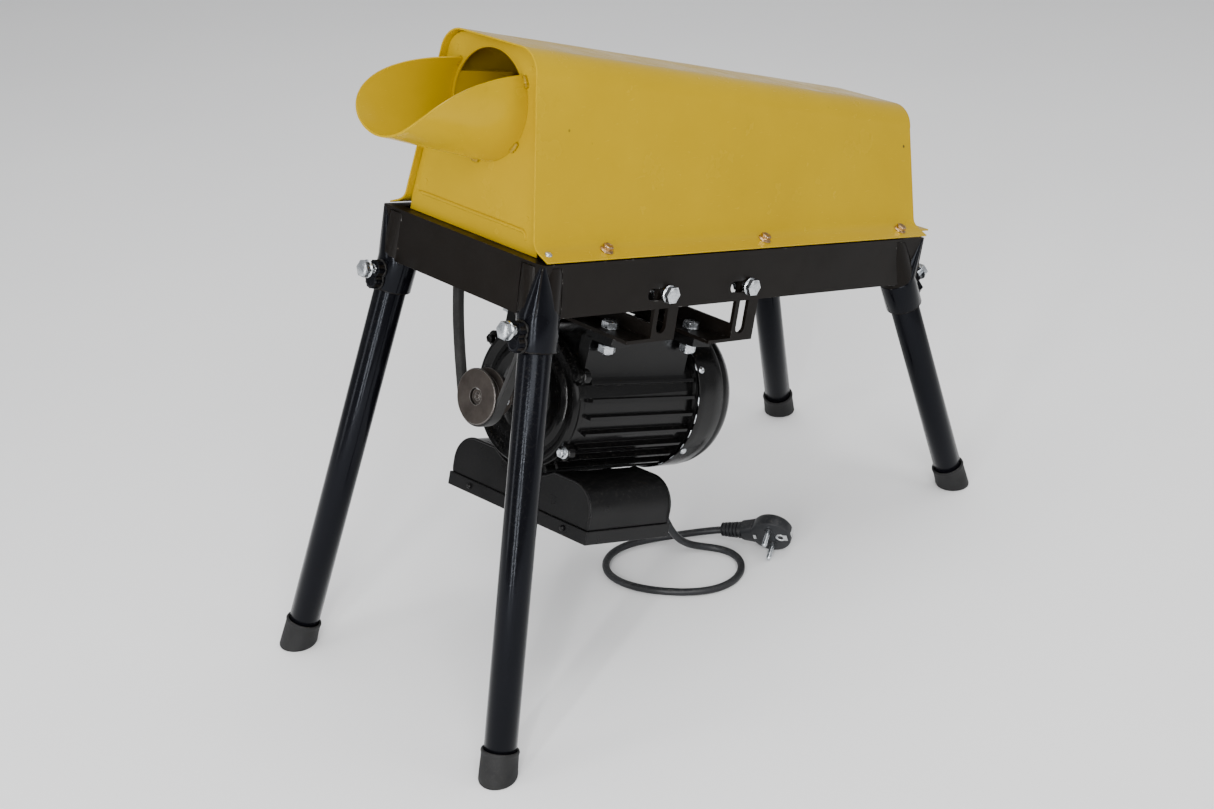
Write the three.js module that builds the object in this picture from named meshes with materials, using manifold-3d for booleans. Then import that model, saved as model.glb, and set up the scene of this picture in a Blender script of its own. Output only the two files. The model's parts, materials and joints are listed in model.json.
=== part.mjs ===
// Electric corn sheller: a yellow sheet hood over a threshing drum, a tilted tray frame on four splayed
// pipe legs, and a single-phase motor that hangs under the tray and drives the drum by one V-belt.
// Lengths are millimetres and angles are degrees. +Z is up and the floor is z = 0.
// The machine's own frame: +X runs from the feed scoop to the cob outlet.
// The tray's frame is tilted about Y, with its origin under the middle of the tray.
// The motor's frame sits in the tray's frame, with its origin on the motor shaft at the pulley's outer face.

import * as THREE from 'three';
import Module from 'manifold-3d';

const wasm = await Module();
wasm.setup();

// ---- Driving dimensions ----

const GAP = 0.3;
const FOOTPRINT_CENTRE_X = -27.2;

const TRAY_TILT = 15;
const TRAY_CLEARANCE = 292;
const TRAY = { length: 480, width: 196, height: 43.5, wall: 2.5, lip: 9 };
const TRAY_SLOT = { z: 12.5, height: 10, reach: 23 };

const LEG = { radius: 13.45, wall: 2.3, inset: { x: 13, y: 11 } };
const SOCKET = { radius: 16.85, bore: 13.85, drop: 27 };
const SPLAY = { inlet: { x: 0.056, y: 0.137 }, outlet: { x: 0.57, y: 0.137 } };
const CAP = { radius: 15.6, height: 24, sole: 5 };
const M8 = { radius: 4, head: 7.5, headHeight: 5.3, nut: 7.5, nutHeight: 6.5 };

const HOOD = {
  front: -235,
  back: 244,
  sheet: 1.5,
  base: 79.4,
  baseHeight: 57,
  shoulder: { front: 57.6, back: 55.9 },
  top: { front: 198.3, back: 156 },
  corner: 22,
};
const FEED_HOLE = { radius: 42.5, z: 148 };
const SCOOP = { radius: 46, reach: 104, wrap: 128, rise: 0.19, power: 3.4 };

const DRUM = { z: 48, radius: 34, wall: 3, tooth: 42, start: -158, end: 204, rows: 4, perRow: 6 };
const SHAFT = { radius: 10, nose: 8 };
const GRATE = { inner: 46, outer: 49.5, start: -160, end: 204, rods: 7, hoops: 5 };
const RAIL = { y: 59, thickness: 3, low: 6 };
const BEARING = { outer: 23.5, inner: 10.3, width: 11 };
const INLET_PLATE_X = -170;
const OUTLET_PLATE_X = 208;
const BEARING_PLATE = 4;

const BELT = { plane: -193.7, inner: 3, outer: 5, height: 6, bow: 6 };
const DRUM_PULLEY = { belt: 54.5, width: 14 };
const MOTOR_PULLEY = { belt: 25.3, rim: 23.5, width: 14, plane: 7 };

const MOTOR = { x: -200.7, z: -96.3, pitch: 4.65, footHeight: 72.5 };
const MOTOR_BODY = { start: 66, end: 199, radius: 61, bore: 55.5, rib: 67 };
const BRACKET = {
  front: { strap: -106, low: -28.9, slotCentre: -95.5, bolt: -96.5, foot: -118 },
  rear: { strap: -7, low: -36.9, slotCentre: 3.5, bolt: 2.5, foot: -19 },
  top: 29,
  wide: 28,
  thick: 3.5,
};
const BOX = { start: 68, end: 166, half: 86.5, low: -106, lid: 12, high: -58, roll: -2.8, wall: 2 };

const CORD_DIAMETER = 7;
const CORD_SIDES = 10;

// ---- Materials ----

const finish = (color, roughness, metalness = 0) => new THREE.MeshStandardMaterial({ color, roughness, metalness });
const BLACK_PAINT = finish('#15130f', 0.35, 0.2);
const LEG_PAINT = finish('#0a0b12', 0.2, 0.2);
const YELLOW_PAINT = finish('#f0c400', 0.3, 0.1);
const MOTOR_PAINT = finish('#0b0b0c', 0.22, 0.3);
const BOX_PAINT = finish('#1c1c1e', 0.45, 0.1);
const TURNED_STEEL = finish('#4c443f', 0.4, 0.9);
const ZINC = finish('#b9bdc2', 0.3, 1);
const BRIGHT_STEEL = finish('#8d9094', 0.35, 1);
const CAST_IRON = finish('#3b3a39', 0.6, 0.6);
const RUBBER = finish('#121212', 0.8);
const CORD_PLASTIC = finish('#17181a', 0.55);
const ALUMINIUM = finish('#a9acae', 0.4, 1);
const WINDING = finish('#8a4b22', 0.5, 0.4);
const FAN_PLASTIC = finish('#2b2c2e', 0.5);

// ---- Solids ----

const point = (x, y, z) => new THREE.Vector3(x, y, z);
const radians = THREE.MathUtils.degToRad;

function signedVolume(positions, triangles) {
  const corner = (i) => point().fromArray(positions, 3 * triangles[i]);
  let volume = 0;
  for (let i = 0; i < triangles.length; i += 3) {
    volume += corner(i).dot(corner(i + 1).cross(corner(i + 2)));
  }
  return volume;
}

// A closed three.js geometry as a solid. Points within a hundredth of a millimetre become one, and the
// zero-area triangles that a lathe leaves on its axis are dropped.
function solid(geometry) {
  const position = geometry.attributes.position;
  const order = geometry.index ? Array.from(geometry.index.array) : [...Array(position.count).keys()];
  const seen = new Map();
  const positions = [];
  const welded = order.map((i) => {
    const corner = [position.getX(i), position.getY(i), position.getZ(i)];
    const key = corner.map((value) => Math.round(value * 100)).join();
    if (!seen.has(key)) {
      seen.set(key, seen.size);
      positions.push(...corner);
    }
    return seen.get(key);
  });
  const triangles = [];
  for (let i = 0; i < welded.length; i += 3) {
    const [a, b, c] = welded.slice(i, i + 3);
    if (a !== b && b !== c && c !== a) {
      triangles.push(a, b, c);
    }
  }
  if (signedVolume(positions, triangles) < 0) {
    triangles.reverse();
  }
  const mesh = new wasm.Mesh({
    numProp: 3,
    vertProperties: new Float32Array(positions),
    triVerts: new Uint32Array(triangles),
  });
  return new wasm.Manifold(mesh);
}

const join = (solids) => solids.reduce((whole, piece) => whole.add(piece));

function place(name, body, material, parent) {
  const { vertProperties, triVerts } = body.getMesh();
  const geometry = new THREE.BufferGeometry();
  geometry.setAttribute('position', new THREE.BufferAttribute(vertProperties, 3));
  geometry.setIndex(new THREE.BufferAttribute(triVerts, 1));
  geometry.computeVertexNormals();
  const mesh = new THREE.Mesh(geometry, material);
  mesh.name = name;
  parent.add(mesh);
}

// A block between two opposite corners.
function block(low, high) {
  const size = high.map((value, i) => value - low[i]);
  const middle = high.map((value, i) => (value + low[i]) / 2);
  return solid(new THREE.BoxGeometry(...size).translate(...middle));
}

// A round or many-sided bar from one point to another.
function bar(from, to, radius, sides = 16, endRadius = radius) {
  const along = to.clone().sub(from);
  const geometry = new THREE.CylinderGeometry(endRadius, radius, along.length(), sides);
  geometry.applyQuaternion(new THREE.Quaternion().setFromUnitVectors(point(0, 1, 0), along.clone().normalize()));
  const middle = from.clone().add(to).multiplyScalar(0.5);
  return solid(geometry.translate(middle.x, middle.y, middle.z));
}

// A solid of revolution about X from [x, radius] pairs. A profile that doesn't touch the axis closes on itself.
function turned(profile, sides = 32) {
  const points = profile.map(([x, r]) => new THREE.Vector2(r, x));
  if (profile[0][1] > 0) {
    points.push(points[0].clone());
  }
  return solid(new THREE.LatheGeometry(points, sides).rotateZ(-Math.PI / 2));
}

const ring = (start, end, inner, outer, sides) =>
  turned([[start, inner], [start, outer], [end, outer], [end, inner]], sides);

// A flat outline of [y, z] points, or a THREE.Shape in y and z, extruded along X.
function plate(outline, start, end) {
  const shape = outline instanceof THREE.Shape ? outline : new THREE.Shape(outline.map((p) => new THREE.Vector2(...p)));
  const geometry = new THREE.ExtrudeGeometry(shape, { depth: end - start, bevelEnabled: false, curveSegments: 8 });
  const turn = new THREE.Matrix4().makeBasis(point(0, 1, 0), point(0, 0, 1), point(1, 0, 0));
  return solid(geometry.applyMatrix4(turn).translate(start, 0, 0));
}

const faceStrip = (a, b, c, d) => [a, b, c, a, c, d];

function indexed(points, faces) {
  const geometry = new THREE.BufferGeometry();
  geometry.setAttribute('position', new THREE.Float32BufferAttribute(points.flatMap((p) => p.toArray()), 3));
  geometry.setIndex(faces);
  return solid(geometry);
}

// Two equal grids of points, the two faces of a thin sheet, closed round their edges.
function sheet(outer, inner) {
  const rows = outer.length;
  const columns = outer[0].length;
  const at = (side, i, j) => (side * rows + i) * columns + j;
  const faces = [];
  for (let i = 0; i < rows - 1; i++) {
    for (let j = 0; j < columns - 1; j++) {
      faces.push(...faceStrip(at(0, i, j), at(0, i + 1, j), at(0, i + 1, j + 1), at(0, i, j + 1)));
      faces.push(...faceStrip(at(1, i, j), at(1, i, j + 1), at(1, i + 1, j + 1), at(1, i + 1, j)));
    }
  }
  for (let i = 0; i < rows - 1; i++) {
    const last = columns - 1;
    faces.push(...faceStrip(at(0, i + 1, 0), at(0, i, 0), at(1, i, 0), at(1, i + 1, 0)));
    faces.push(...faceStrip(at(0, i, last), at(0, i + 1, last), at(1, i + 1, last), at(1, i, last)));
  }
  for (let j = 0; j < columns - 1; j++) {
    const last = rows - 1;
    faces.push(...faceStrip(at(0, 0, j), at(0, 0, j + 1), at(1, 0, j + 1), at(1, 0, j)));
    faces.push(...faceStrip(at(0, last, j + 1), at(0, last, j), at(1, last, j), at(1, last, j + 1)));
  }
  return indexed([...outer.flat(), ...inner.flat()], faces);
}

// Equal closed sections joined one to the next, and the last to the first.
function endless(sections) {
  const count = sections.length;
  const corners = sections[0].length;
  const at = (i, j) => (i % count) * corners + (j % corners);
  const faces = [];
  for (let i = 0; i < count; i++) {
    for (let j = 0; j < corners; j++) {
      faces.push(...faceStrip(at(i, j), at(i + 1, j), at(i + 1, j + 1), at(i, j + 1)));
    }
  }
  return indexed(sections.flat(), faces);
}

const arc = (count, from, to) =>
  Array.from({ length: count + 1 }, (unused, i) => radians(from + ((to - from) * i) / count));

// ---- Frames ----

const machine = new THREE.Group();
machine.position.x = -FOOTPRINT_CENTRE_X;

const tray = new THREE.Group();
tray.position.z = TRAY_CLEARANCE;
tray.rotation.y = radians(TRAY_TILT);
machine.add(tray);

const motor = new THREE.Group();
motor.position.set(MOTOR.x, 0, MOTOR.z);
motor.rotation.y = radians(MOTOR.pitch);
tray.add(motor);

const capacitorGroup = new THREE.Group();
capacitorGroup.rotation.x = radians(BOX.roll);
motor.add(capacitorGroup);

machine.updateMatrixWorld(true);
const inMachine = (group, local) => machine.worldToLocal(group.localToWorld(local));

// ---- Legs, sockets, clamp bolts and feet ----

// side is -1 or 1 for the near or far side, and end is -1 or 1 for the inlet or outlet end.
const LEGS = [
  { name: 'inlet_near', end: -1, side: -1 },
  { name: 'inlet_far', end: -1, side: 1 },
  { name: 'outlet_near', end: 1, side: -1 },
  { name: 'outlet_far', end: 1, side: 1 },
];

function legAxis({ end, side }) {
  const splay = end < 0 ? SPLAY.inlet : SPLAY.outlet;
  const down = point(end * splay.x, side * splay.y, -1).normalize();
  const corner = point(end * (TRAY.length / 2 - LEG.inset.x), side * (TRAY.width / 2 - LEG.inset.y), 0);
  return { down, at: (distance) => corner.clone().addScaledVector(down, distance) };
}

// A length of the leg's line, cut off level under the tray's lip.
function socketTube(leg, radius, low, high, roof) {
  const { at } = legAxis(leg);
  return bar(at(high), at(low), radius, 20).subtract(block([-400, -200, roof], [400, 200, 200]));
}

function addSocket(leg) {
  const { down, at } = legAxis(leg);
  const out = point(leg.end, 0, 0).projectOnPlane(down).normalize();
  let socket = socketTube(leg, SOCKET.radius, SOCKET.drop, -60, TRAY.height - TRAY.wall - GAP);
  const nutStarts = [10.3, 20.3];
  for (const distance of nutStarts) {
    const root = at(distance);
    const face = SOCKET.radius + M8.nutHeight;
    const nut = bar(
      root.clone().addScaledVector(out, SOCKET.bore + 1),
      root.clone().addScaledVector(out, face),
      M8.nut,
      6,
    );
    socket = socket.add(nut);
  }
  socket = socket.subtract(bar(at(-80), at(60), SOCKET.bore, 20));
  for (const distance of nutStarts) {
    const root = at(distance);
    socket = socket.subtract(bar(root, root.clone().addScaledVector(out, 40), M8.radius + GAP, 12));
  }
  place(`leg_socket_${leg.name}`, socket, LEG_PAINT, tray);

  const bolt = at(nutStarts[0]);
  const along = (distance) => bolt.clone().addScaledVector(out, distance);
  const head = SOCKET.radius + M8.nutHeight + 7;
  const shank = bar(along(LEG.radius + GAP), along(head + 1), M8.radius, 12);
  const hex = bar(along(head), along(head + M8.headHeight), M8.head, 6);
  place(`leg_clamp_bolt_${leg.name}`, shank.add(hex), ZINC, tray);
}

// The pipe and its rubber cap stand in the machine's own frame, because the sole is cut level with the floor.
function addLeg(leg) {
  const { at } = legAxis(leg);
  const top = inMachine(tray, at(-22));
  const socketEnd = inMachine(tray, at(SOCKET.drop));
  const down = socketEnd.clone().sub(top).normalize();
  const floor = top.clone().addScaledVector(down, -top.z / down.z);
  const above = (distance) => floor.clone().addScaledVector(down, -distance);
  const pipeEnd = CAP.sole + 3;
  const pipe = bar(top, above(pipeEnd), LEG.radius, 20);
  const hollow = bar(top.clone().addScaledVector(down, -1), above(pipeEnd - 1), LEG.radius - LEG.wall, 20);
  place(`leg_pipe_${leg.name}`, pipe.subtract(hollow), LEG_PAINT, machine);

  const cap = bar(above(CAP.height), above(-CAP.height), CAP.radius, 20, CAP.radius + 0.4);
  const pocket = bar(above(CAP.height + 1), above(pipeEnd - GAP), LEG.radius + GAP, 20);
  const ground = block([floor.x - 60, floor.y - 60, -80], [floor.x + 60, floor.y + 60, 0]);
  place(`foot_cap_${leg.name}`, cap.subtract(pocket).subtract(ground), RUBBER, machine);
}

for (const leg of LEGS) {
  addSocket(leg);
  addLeg(leg);
}

// ---- Tray frame ----

function slotCutter(centre, from, to, z, height, side) {
  const outside = side * (TRAY.width / 2 + 5);
  const inside = side * (TRAY.width / 2 - 12);
  const middle = block(
    [from, Math.min(outside, inside), z - height / 2],
    [to, Math.max(outside, inside), z + height / 2],
  );
  const end = (x) => bar(point(x, outside, z), point(x, inside, z), height / 2, 16);
  return join([middle, end(from), end(to)]);
}

// The folded ring, with two rails welded between its ends to carry the bearing plates and the grate.
function addTray() {
  const x = TRAY.length / 2;
  const y = TRAY.width / 2;
  const { wall, lip, height } = TRAY;
  const outside = block([-x, -y, 0], [x, y, height]);
  const below = block([-x + wall, -y + wall, -1], [x - wall, y - wall, height - wall]);
  const window = block([-x + wall + lip, -y + wall + lip, 0], [x - wall - lip, y - wall - lip, height + 1]);
  let frame = outside.subtract(below).subtract(window);
  for (const side of [-1, 1]) {
    const web = [side * RAIL.y, side * (RAIL.y + RAIL.thickness)].sort((a, b) => a - b);
    const foot = [side * RAIL.y, side * (RAIL.y + 8)].sort((a, b) => a - b);
    const end = x - wall / 2;
    frame = frame.add(block([-end, web[0], RAIL.low], [end, web[1], height - wall / 2]));
    frame = frame.add(block([-end, foot[0], RAIL.low], [end, foot[1], RAIL.low + RAIL.thickness]));
  }
  for (const leg of LEGS) {
    frame = frame.subtract(socketTube(leg, SOCKET.radius + GAP, 80, -60, height - wall));
  }
  for (const { bolt } of [BRACKET.front, BRACKET.rear]) {
    for (const side of [-1, 1]) {
      const { z, height: slotHeight, reach } = TRAY_SLOT;
      frame = frame.subtract(slotCutter(bolt, bolt - reach + slotHeight / 2, bolt, z, slotHeight, side));
    }
  }
  place('tray_frame', frame, BLACK_PAINT, tray);
}

// ---- Hood, end plates and scoop ----

// The hood's outline at a place along X, from the near flange over the top to the far flange, as [y, z] pairs.
function hoodOutline(x) {
  const t = (x - HOOD.front) / (HOOD.back - HOOD.front);
  const top = THREE.MathUtils.lerp(HOOD.top.front, HOOD.top.back, t);
  const shoulder = THREE.MathUtils.lerp(HOOD.shoulder.front, HOOD.shoulder.back, t);
  const flange = [[TRAY.width / 2 - 0.5, TRAY.height + 2.2], [88, 49.4], [82.5, 52.4], [HOOD.base, HOOD.baseHeight]];
  const corner = arc(5, 9, 90).map((angle) => [
    shoulder + HOOD.corner * (Math.cos(angle) - 1),
    top + HOOD.corner * (Math.sin(angle) - 1),
  ]);
  const half = [...flange, ...corner];
  return [...half.map(([y, z]) => [-y, z]), ...half.reverse()];
}

// The same outline moved inward by a thickness.
function inset(outline, thickness) {
  return outline.map(([y, z], i) => {
    const before = outline[Math.max(i - 1, 0)];
    const after = outline[Math.min(i + 1, outline.length - 1)];
    const run = new THREE.Vector2(after[0] - before[0], after[1] - before[1]).normalize();
    return [y + run.y * thickness, z - run.x * thickness];
  });
}

const toPoints = (outline, x) => outline.map(([y, z]) => point(x, y, z));

// A plate outline that fits inside the hood at a place along X, down to a level.
function hoodPlateOutline(x, bottom) {
  const inside = inset(hoodOutline(x), HOOD.sheet + 0.5).filter(([, z]) => z > HOOD.baseHeight - 3);
  const first = inside[0];
  const last = inside[inside.length - 1];
  return [[last[0], bottom], ...inside.reverse(), [first[0], bottom]];
}

function addHood() {
  const stations = [HOOD.front, HOOD.back];
  const outer = stations.map((x) => toPoints(hoodOutline(x), x));
  const inner = stations.map((x) => toPoints(inset(hoodOutline(x), HOOD.sheet), x));
  place('hood_shell', sheet(outer, inner), YELLOW_PAINT, tray);

  const hole = new THREE.Path().absarc(0, FEED_HOLE.z, FEED_HOLE.radius, 0, 2 * Math.PI, true);
  const inletX = HOOD.front + 6;
  const inlet = new THREE.Shape(hoodPlateOutline(inletX, TRAY.height + GAP).map((p) => new THREE.Vector2(...p)));
  inlet.holes.push(hole);
  place('hood_inlet_plate', plate(inlet, inletX, inletX + HOOD.sheet), YELLOW_PAINT, tray);

  // The outlet plate has an arched opening for the bare cobs and a sill that carries them past the tray's end.
  const outletX = HOOD.back - 8;
  const outlet = new THREE.Shape(hoodPlateOutline(outletX, TRAY.height + 3.5).map((p) => new THREE.Vector2(...p)));
  const mouth = new THREE.Path();
  mouth.moveTo(-40, 98);
  mouth.lineTo(-40, 116);
  mouth.absarc(-14, 116, 26, Math.PI, Math.PI / 2, true);
  mouth.absarc(14, 116, 26, Math.PI / 2, 0, true);
  mouth.lineTo(40, 98);
  outlet.holes.push(mouth);
  const sill = block([outletX, -84, TRAY.height + 2], [outletX + 28, 84, TRAY.height + 3.5]);
  const outletPlate = plate(outlet, outletX, outletX + HOOD.sheet).add(sill);
  place('hood_outlet_plate', outletPlate.subtract(hoodEndCutter()), YELLOW_PAINT, tray);
}

// Keeps the outlet sill clear of the hood's own flared flanges.
function hoodEndCutter() {
  const cut = (side) => block([200, side < 0 ? -120 : 77, 40], [HOOD.back + GAP, side < 0 ? -77 : 120, 56]);
  return cut(-1).add(cut(1));
}

// How far the scoop's front edge reaches out, for an angle round from its bottom.
const scoopReach = (angle) => SCOOP.reach * (1 - (Math.abs(angle) / SCOOP.wrap) ** SCOOP.power);

function addScoop() {
  const root = HOOD.front + 6 - GAP;
  const around = arc(22, -SCOOP.wrap + 1, SCOOP.wrap - 1);
  const steps = [0, 0.25, 0.5, 0.75, 1];
  const face = (radius) =>
    around.map((angle) =>
      steps.map((step) => {
        const reach = step * scoopReach(THREE.MathUtils.radToDeg(angle));
        const z = FEED_HOLE.z - radius * Math.cos(angle) + reach * SCOOP.rise;
        return point(root - reach, radius * Math.sin(angle), z);
      }),
    );
  place('feed_scoop', sheet(face(SCOOP.radius), face(SCOOP.radius - HOOD.sheet)), YELLOW_PAINT, tray);
}

// The liner that carries cobs from the feed hole over the belt to the drum.
function addFeedTrough() {
  const around = arc(16, -112, 112);
  const ends = [HOOD.front + 6 + HOOD.sheet + GAP, INLET_PLATE_X - 1];
  const face = (radius) =>
    ends.map((x) => around.map((angle) => point(x, radius * Math.sin(angle), FEED_HOLE.z - radius * Math.cos(angle))));
  place('feed_trough', sheet(face(FEED_HOLE.radius + 1.5), face(FEED_HOLE.radius)), YELLOW_PAINT, tray);
}

// ---- Drum, bearings and grate ----

const drumAxis = (x) => point(x, 0, DRUM.z);
const onDrum = (body) => body.translate(0, 0, DRUM.z);

function addDrum() {
  const { start, end, radius, wall } = DRUM;
  let drum = ring(start, end, radius - wall, radius, 24);
  for (const x of [start, end - 5]) {
    let web = ring(x, x + 5, SHAFT.radius + GAP, radius - wall + 0.6, 24);
    for (const angle of arc(3, 45, 315)) {
      const y = 21 * Math.cos(angle);
      const z = 21 * Math.sin(angle);
      web = web.subtract(bar(point(x - 1, y, z), point(x + 6, y, z), 6, 10));
    }
    drum = drum.add(web);
  }
  const pitch = (end - start - 30) / (DRUM.perRow - 1);
  for (let row = 0; row < DRUM.rows; row++) {
    for (let i = 0; i < DRUM.perRow; i++) {
      const x = start + 15 + i * pitch;
      const tooth = new THREE.BoxGeometry(14, 7, DRUM.tooth - radius + 2);
      tooth.rotateZ(radians(25));
      tooth.translate(0, 0, (DRUM.tooth + radius - 2) / 2);
      tooth.rotateX(radians((360 / DRUM.rows) * row + 13 * i));
      drum = drum.add(solid(tooth.translate(x, 0, 0)));
    }
  }
  place('threshing_drum', onDrum(drum), CAST_IRON, tray);

  const shaft = turned(
    [[-206, 0], [-206, SHAFT.nose], [-184, SHAFT.nose], [-184, SHAFT.radius], [227, SHAFT.radius], [227, 0]],
    24,
  );
  place('drum_shaft', onDrum(shaft), BRIGHT_STEEL, tray);
}

function bearingPlateOutline() {
  const foot = RAIL.y - GAP;
  return [[-foot, 8], [foot, 8], [foot, 46], [38, 92], [-38, 92], [-foot, 46]];
}

// outward is -1 or 1, the way that the housing stands off its plate along X.
function addBearing(name, plateX, outward) {
  const wallPlate = plate(bearingPlateOutline(), plateX, plateX + BEARING_PLATE);
  const bore = bar(drumAxis(plateX - 1), drumAxis(plateX + BEARING_PLATE + 1), BEARING.outer - 4, 24);
  place(`${name}_bearing_plate`, wallPlate.subtract(bore), BLACK_PAINT, tray);

  const face = outward < 0 ? plateX - GAP : plateX + BEARING_PLATE + GAP;
  const at = (distance) => face + outward * distance;
  const housing = turned(
    [
      [at(0), BEARING.outer + GAP],
      [at(0), 34],
      [at(3), 34],
      [at(3), 27],
      [at(13), 27],
      [at(13), 15],
      [at(11.8), 15],
      [at(11.8), BEARING.outer + GAP],
    ],
    28,
  );
  place(`${name}_bearing_housing`, onDrum(housing), CAST_IRON, tray);
  const ends = [at(0.3), at(0.3 + BEARING.width)].sort((a, b) => a - b);
  place(`${name}_bearing`, onDrum(ring(...ends, BEARING.inner, BEARING.outer, 24)), BRIGHT_STEEL, tray);
}

function addGrate() {
  const { inner, outer, start, end } = GRATE;
  const pieces = [];
  for (let i = 0; i < GRATE.hoops; i++) {
    const x = start + ((end - start - 4) * i) / (GRATE.hoops - 1);
    pieces.push(ring(x, x + 4, inner, outer, 24));
  }
  for (const angle of arc(GRATE.rods - 1, 192, 348)) {
    const y = ((inner + outer) / 2) * Math.cos(angle);
    const z = ((inner + outer) / 2) * Math.sin(angle);
    pieces.push(bar(point(start, y, z), point(end, y, z), 1.7, 5));
  }
  const upper = block([-300, -80, 1], [300, 80, 80]);
  let grate = onDrum(join(pieces).subtract(upper));
  for (const side of [-1, 1]) {
    const edges = [side * (inner + 0.2), side * (RAIL.y + RAIL.thickness)].sort((a, b) => a - b);
    grate = grate.add(block([start, edges[0], TRAY.height + GAP], [end, edges[1], DRUM.z + 1]));
  }
  place('concave_grate', grate, BRIGHT_STEEL, tray);
}

// ---- Belt and pulleys ----

// A V-groove pulley: start is its outer face and plane its belt's plane; the profile runs round the metal.
function pulley(plane, width, rim, belt, bore, hubRadius, hubLength) {
  const bottom = belt - BELT.height - 1.5;
  const grooveHalf = (radius) => BELT.inner + 0.45 + ((radius - (belt - BELT.height)) * 2) / BELT.height;
  const low = plane - width / 2;
  const high = plane + width / 2;
  return turned(
    [
      [low, bore],
      [low, rim],
      [plane - grooveHalf(rim), rim],
      [plane - grooveHalf(bottom), bottom],
      [plane + grooveHalf(bottom), bottom],
      [plane + grooveHalf(rim), rim],
      [high, rim],
      [high, hubRadius],
      [high + hubLength, hubRadius],
      [high + hubLength, bore],
    ],
    36,
  );
}

// One trapezoid section of the belt. out points away from the pulleys and across along their axes.
function beltSection(centre, out, across) {
  const corner = (radius, half) => centre.clone().addScaledVector(out, radius).addScaledVector(across, half);
  return [
    corner(-BELT.height, -BELT.inner),
    corner(0, -BELT.outer),
    corner(0, BELT.outer),
    corner(-BELT.height, BELT.inner),
  ];
}

// The belt's back runs round the drum pulley, down a slack span, round the motor pulley and up again.
function addBelt() {
  const across = point(1, 0, 0);
  const tilt = new THREE.Quaternion().setFromAxisAngle(point(0, 1, 0), radians(MOTOR.pitch));
  const lowCentre = point(MOTOR.x, 0, MOTOR.z).add(point(MOTOR_PULLEY.plane, 0, 0).applyQuaternion(tilt));
  const highCentre = drumAxis(BELT.plane);
  const lean = 13;
  const sections = [];
  for (const angle of arc(20, -lean, 180 + lean)) {
    const out = point(0, Math.cos(angle), Math.sin(angle));
    sections.push(beltSection(highCentre.clone().addScaledVector(out, DRUM_PULLEY.belt), out, across));
  }
  const low = arc(14, 180 + lean, 360 - lean).map((angle) => {
    const out = point(0, Math.cos(angle), Math.sin(angle)).applyQuaternion(tilt);
    const side = across.clone().applyQuaternion(tilt);
    return { centre: lowCentre.clone().addScaledVector(out, MOTOR_PULLEY.belt), out, side };
  });
  const high = (side) => {
    const out = point(0, side * Math.cos(radians(lean)), -Math.sin(radians(lean)));
    return { centre: highCentre.clone().addScaledVector(out, DRUM_PULLEY.belt), out };
  };
  const span = (from, to, side) => {
    for (const t of [0.2, 0.4, 0.6, 0.8]) {
      const out = from.out.clone().lerp(to.out, t).normalize();
      const centre = from.centre.clone().lerp(to.centre, t);
      centre.y += side * BELT.bow * Math.sin(Math.PI * t);
      sections.push(beltSection(centre, out, across));
    }
  };
  span(high(-1), low[0], -1);
  for (const { centre, out, side } of low) {
    sections.push(beltSection(centre, out, side));
  }
  span(low[low.length - 1], high(1), 1);
  place('v_belt', endless(sections), RUBBER, tray);

  let drumPulley = pulley(BELT.plane, DRUM_PULLEY.width, DRUM_PULLEY.belt - 1.5, DRUM_PULLEY.belt, SHAFT.nose + GAP, 15, 1);
  for (const angle of arc(3, 45, 315)) {
    const y = 30 * Math.cos(angle);
    const z = 30 * Math.sin(angle);
    drumPulley = drumPulley.subtract(bar(point(-210, y, z), point(-180, y, z), 9, 10));
  }
  place('drum_pulley', onDrum(drumPulley), TURNED_STEEL, tray);

  const motorPulley = pulley(
    MOTOR_PULLEY.plane,
    MOTOR_PULLEY.width,
    MOTOR_PULLEY.rim,
    MOTOR_PULLEY.belt,
    7 + GAP,
    17,
    12,
  );
  place('motor_pulley', motorPulley, TURNED_STEEL, motor);
}

// ---- Motor ----

const FOOT_PADS = [[65, 89], [164, 188]];

// The four through bolts sit on ears at this angle above and below the horizontal, on both sides.
const EAR = { angle: 31, radius: 64, size: 7 };
const earAngles = [EAR.angle, 180 - EAR.angle, 180 + EAR.angle, 360 - EAR.angle].map(radians);
const earPoint = (angle, x) => point(x, EAR.radius * Math.cos(angle), EAR.radius * Math.sin(angle));

// Bolts through the brackets stand square to the tray, so each one's place is moved into the motor's frame.
function footBoltPoint(foot, side, z) {
  return motor.worldToLocal(tray.localToWorld(point(foot, side * 60, z)));
}

function addMotorBody() {
  const { start, end, radius, bore, rib } = MOTOR_BODY;
  const pieces = [ring(start + GAP, end, bore - 2, radius, 40)];
  for (const side of [-1, 1]) {
    for (let angle = 26; angle >= -65; angle -= 13) {
      const fin = new THREE.BoxGeometry(end - start - 7, rib - radius + 3, 3);
      fin.translate((start + end) / 2, side * ((rib + radius - 3) / 2), 0);
      pieces.push(solid(fin.rotateX(side * radians(angle))));
    }
    const wall = [side * 40, side * 51.8].sort((a, b) => a - b);
    pieces.push(block([start + GAP, wall[0], 26], [end - 9, wall[1], 66]));
    for (const [low, high] of FOOT_PADS) {
      const pad = [side * 44, side * 75].sort((a, b) => a - b);
      pieces.push(block([low + 2, pad[0], 64], [high, pad[1], MOTOR.footHeight]));
    }
  }
  let body = join(pieces).subtract(bar(point(start - 5, 0, 0), point(end + 5, 0, 0), bore, 40));
  for (const { foot } of [BRACKET.front, BRACKET.rear]) {
    for (const side of [-1, 1]) {
      body = body.subtract(bar(footBoltPoint(foot, side, -60), footBoltPoint(foot, side, 0), M8.radius + 0.6, 16));
    }
  }
  place('motor_body', body, MOTOR_PAINT, motor);
}

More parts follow.
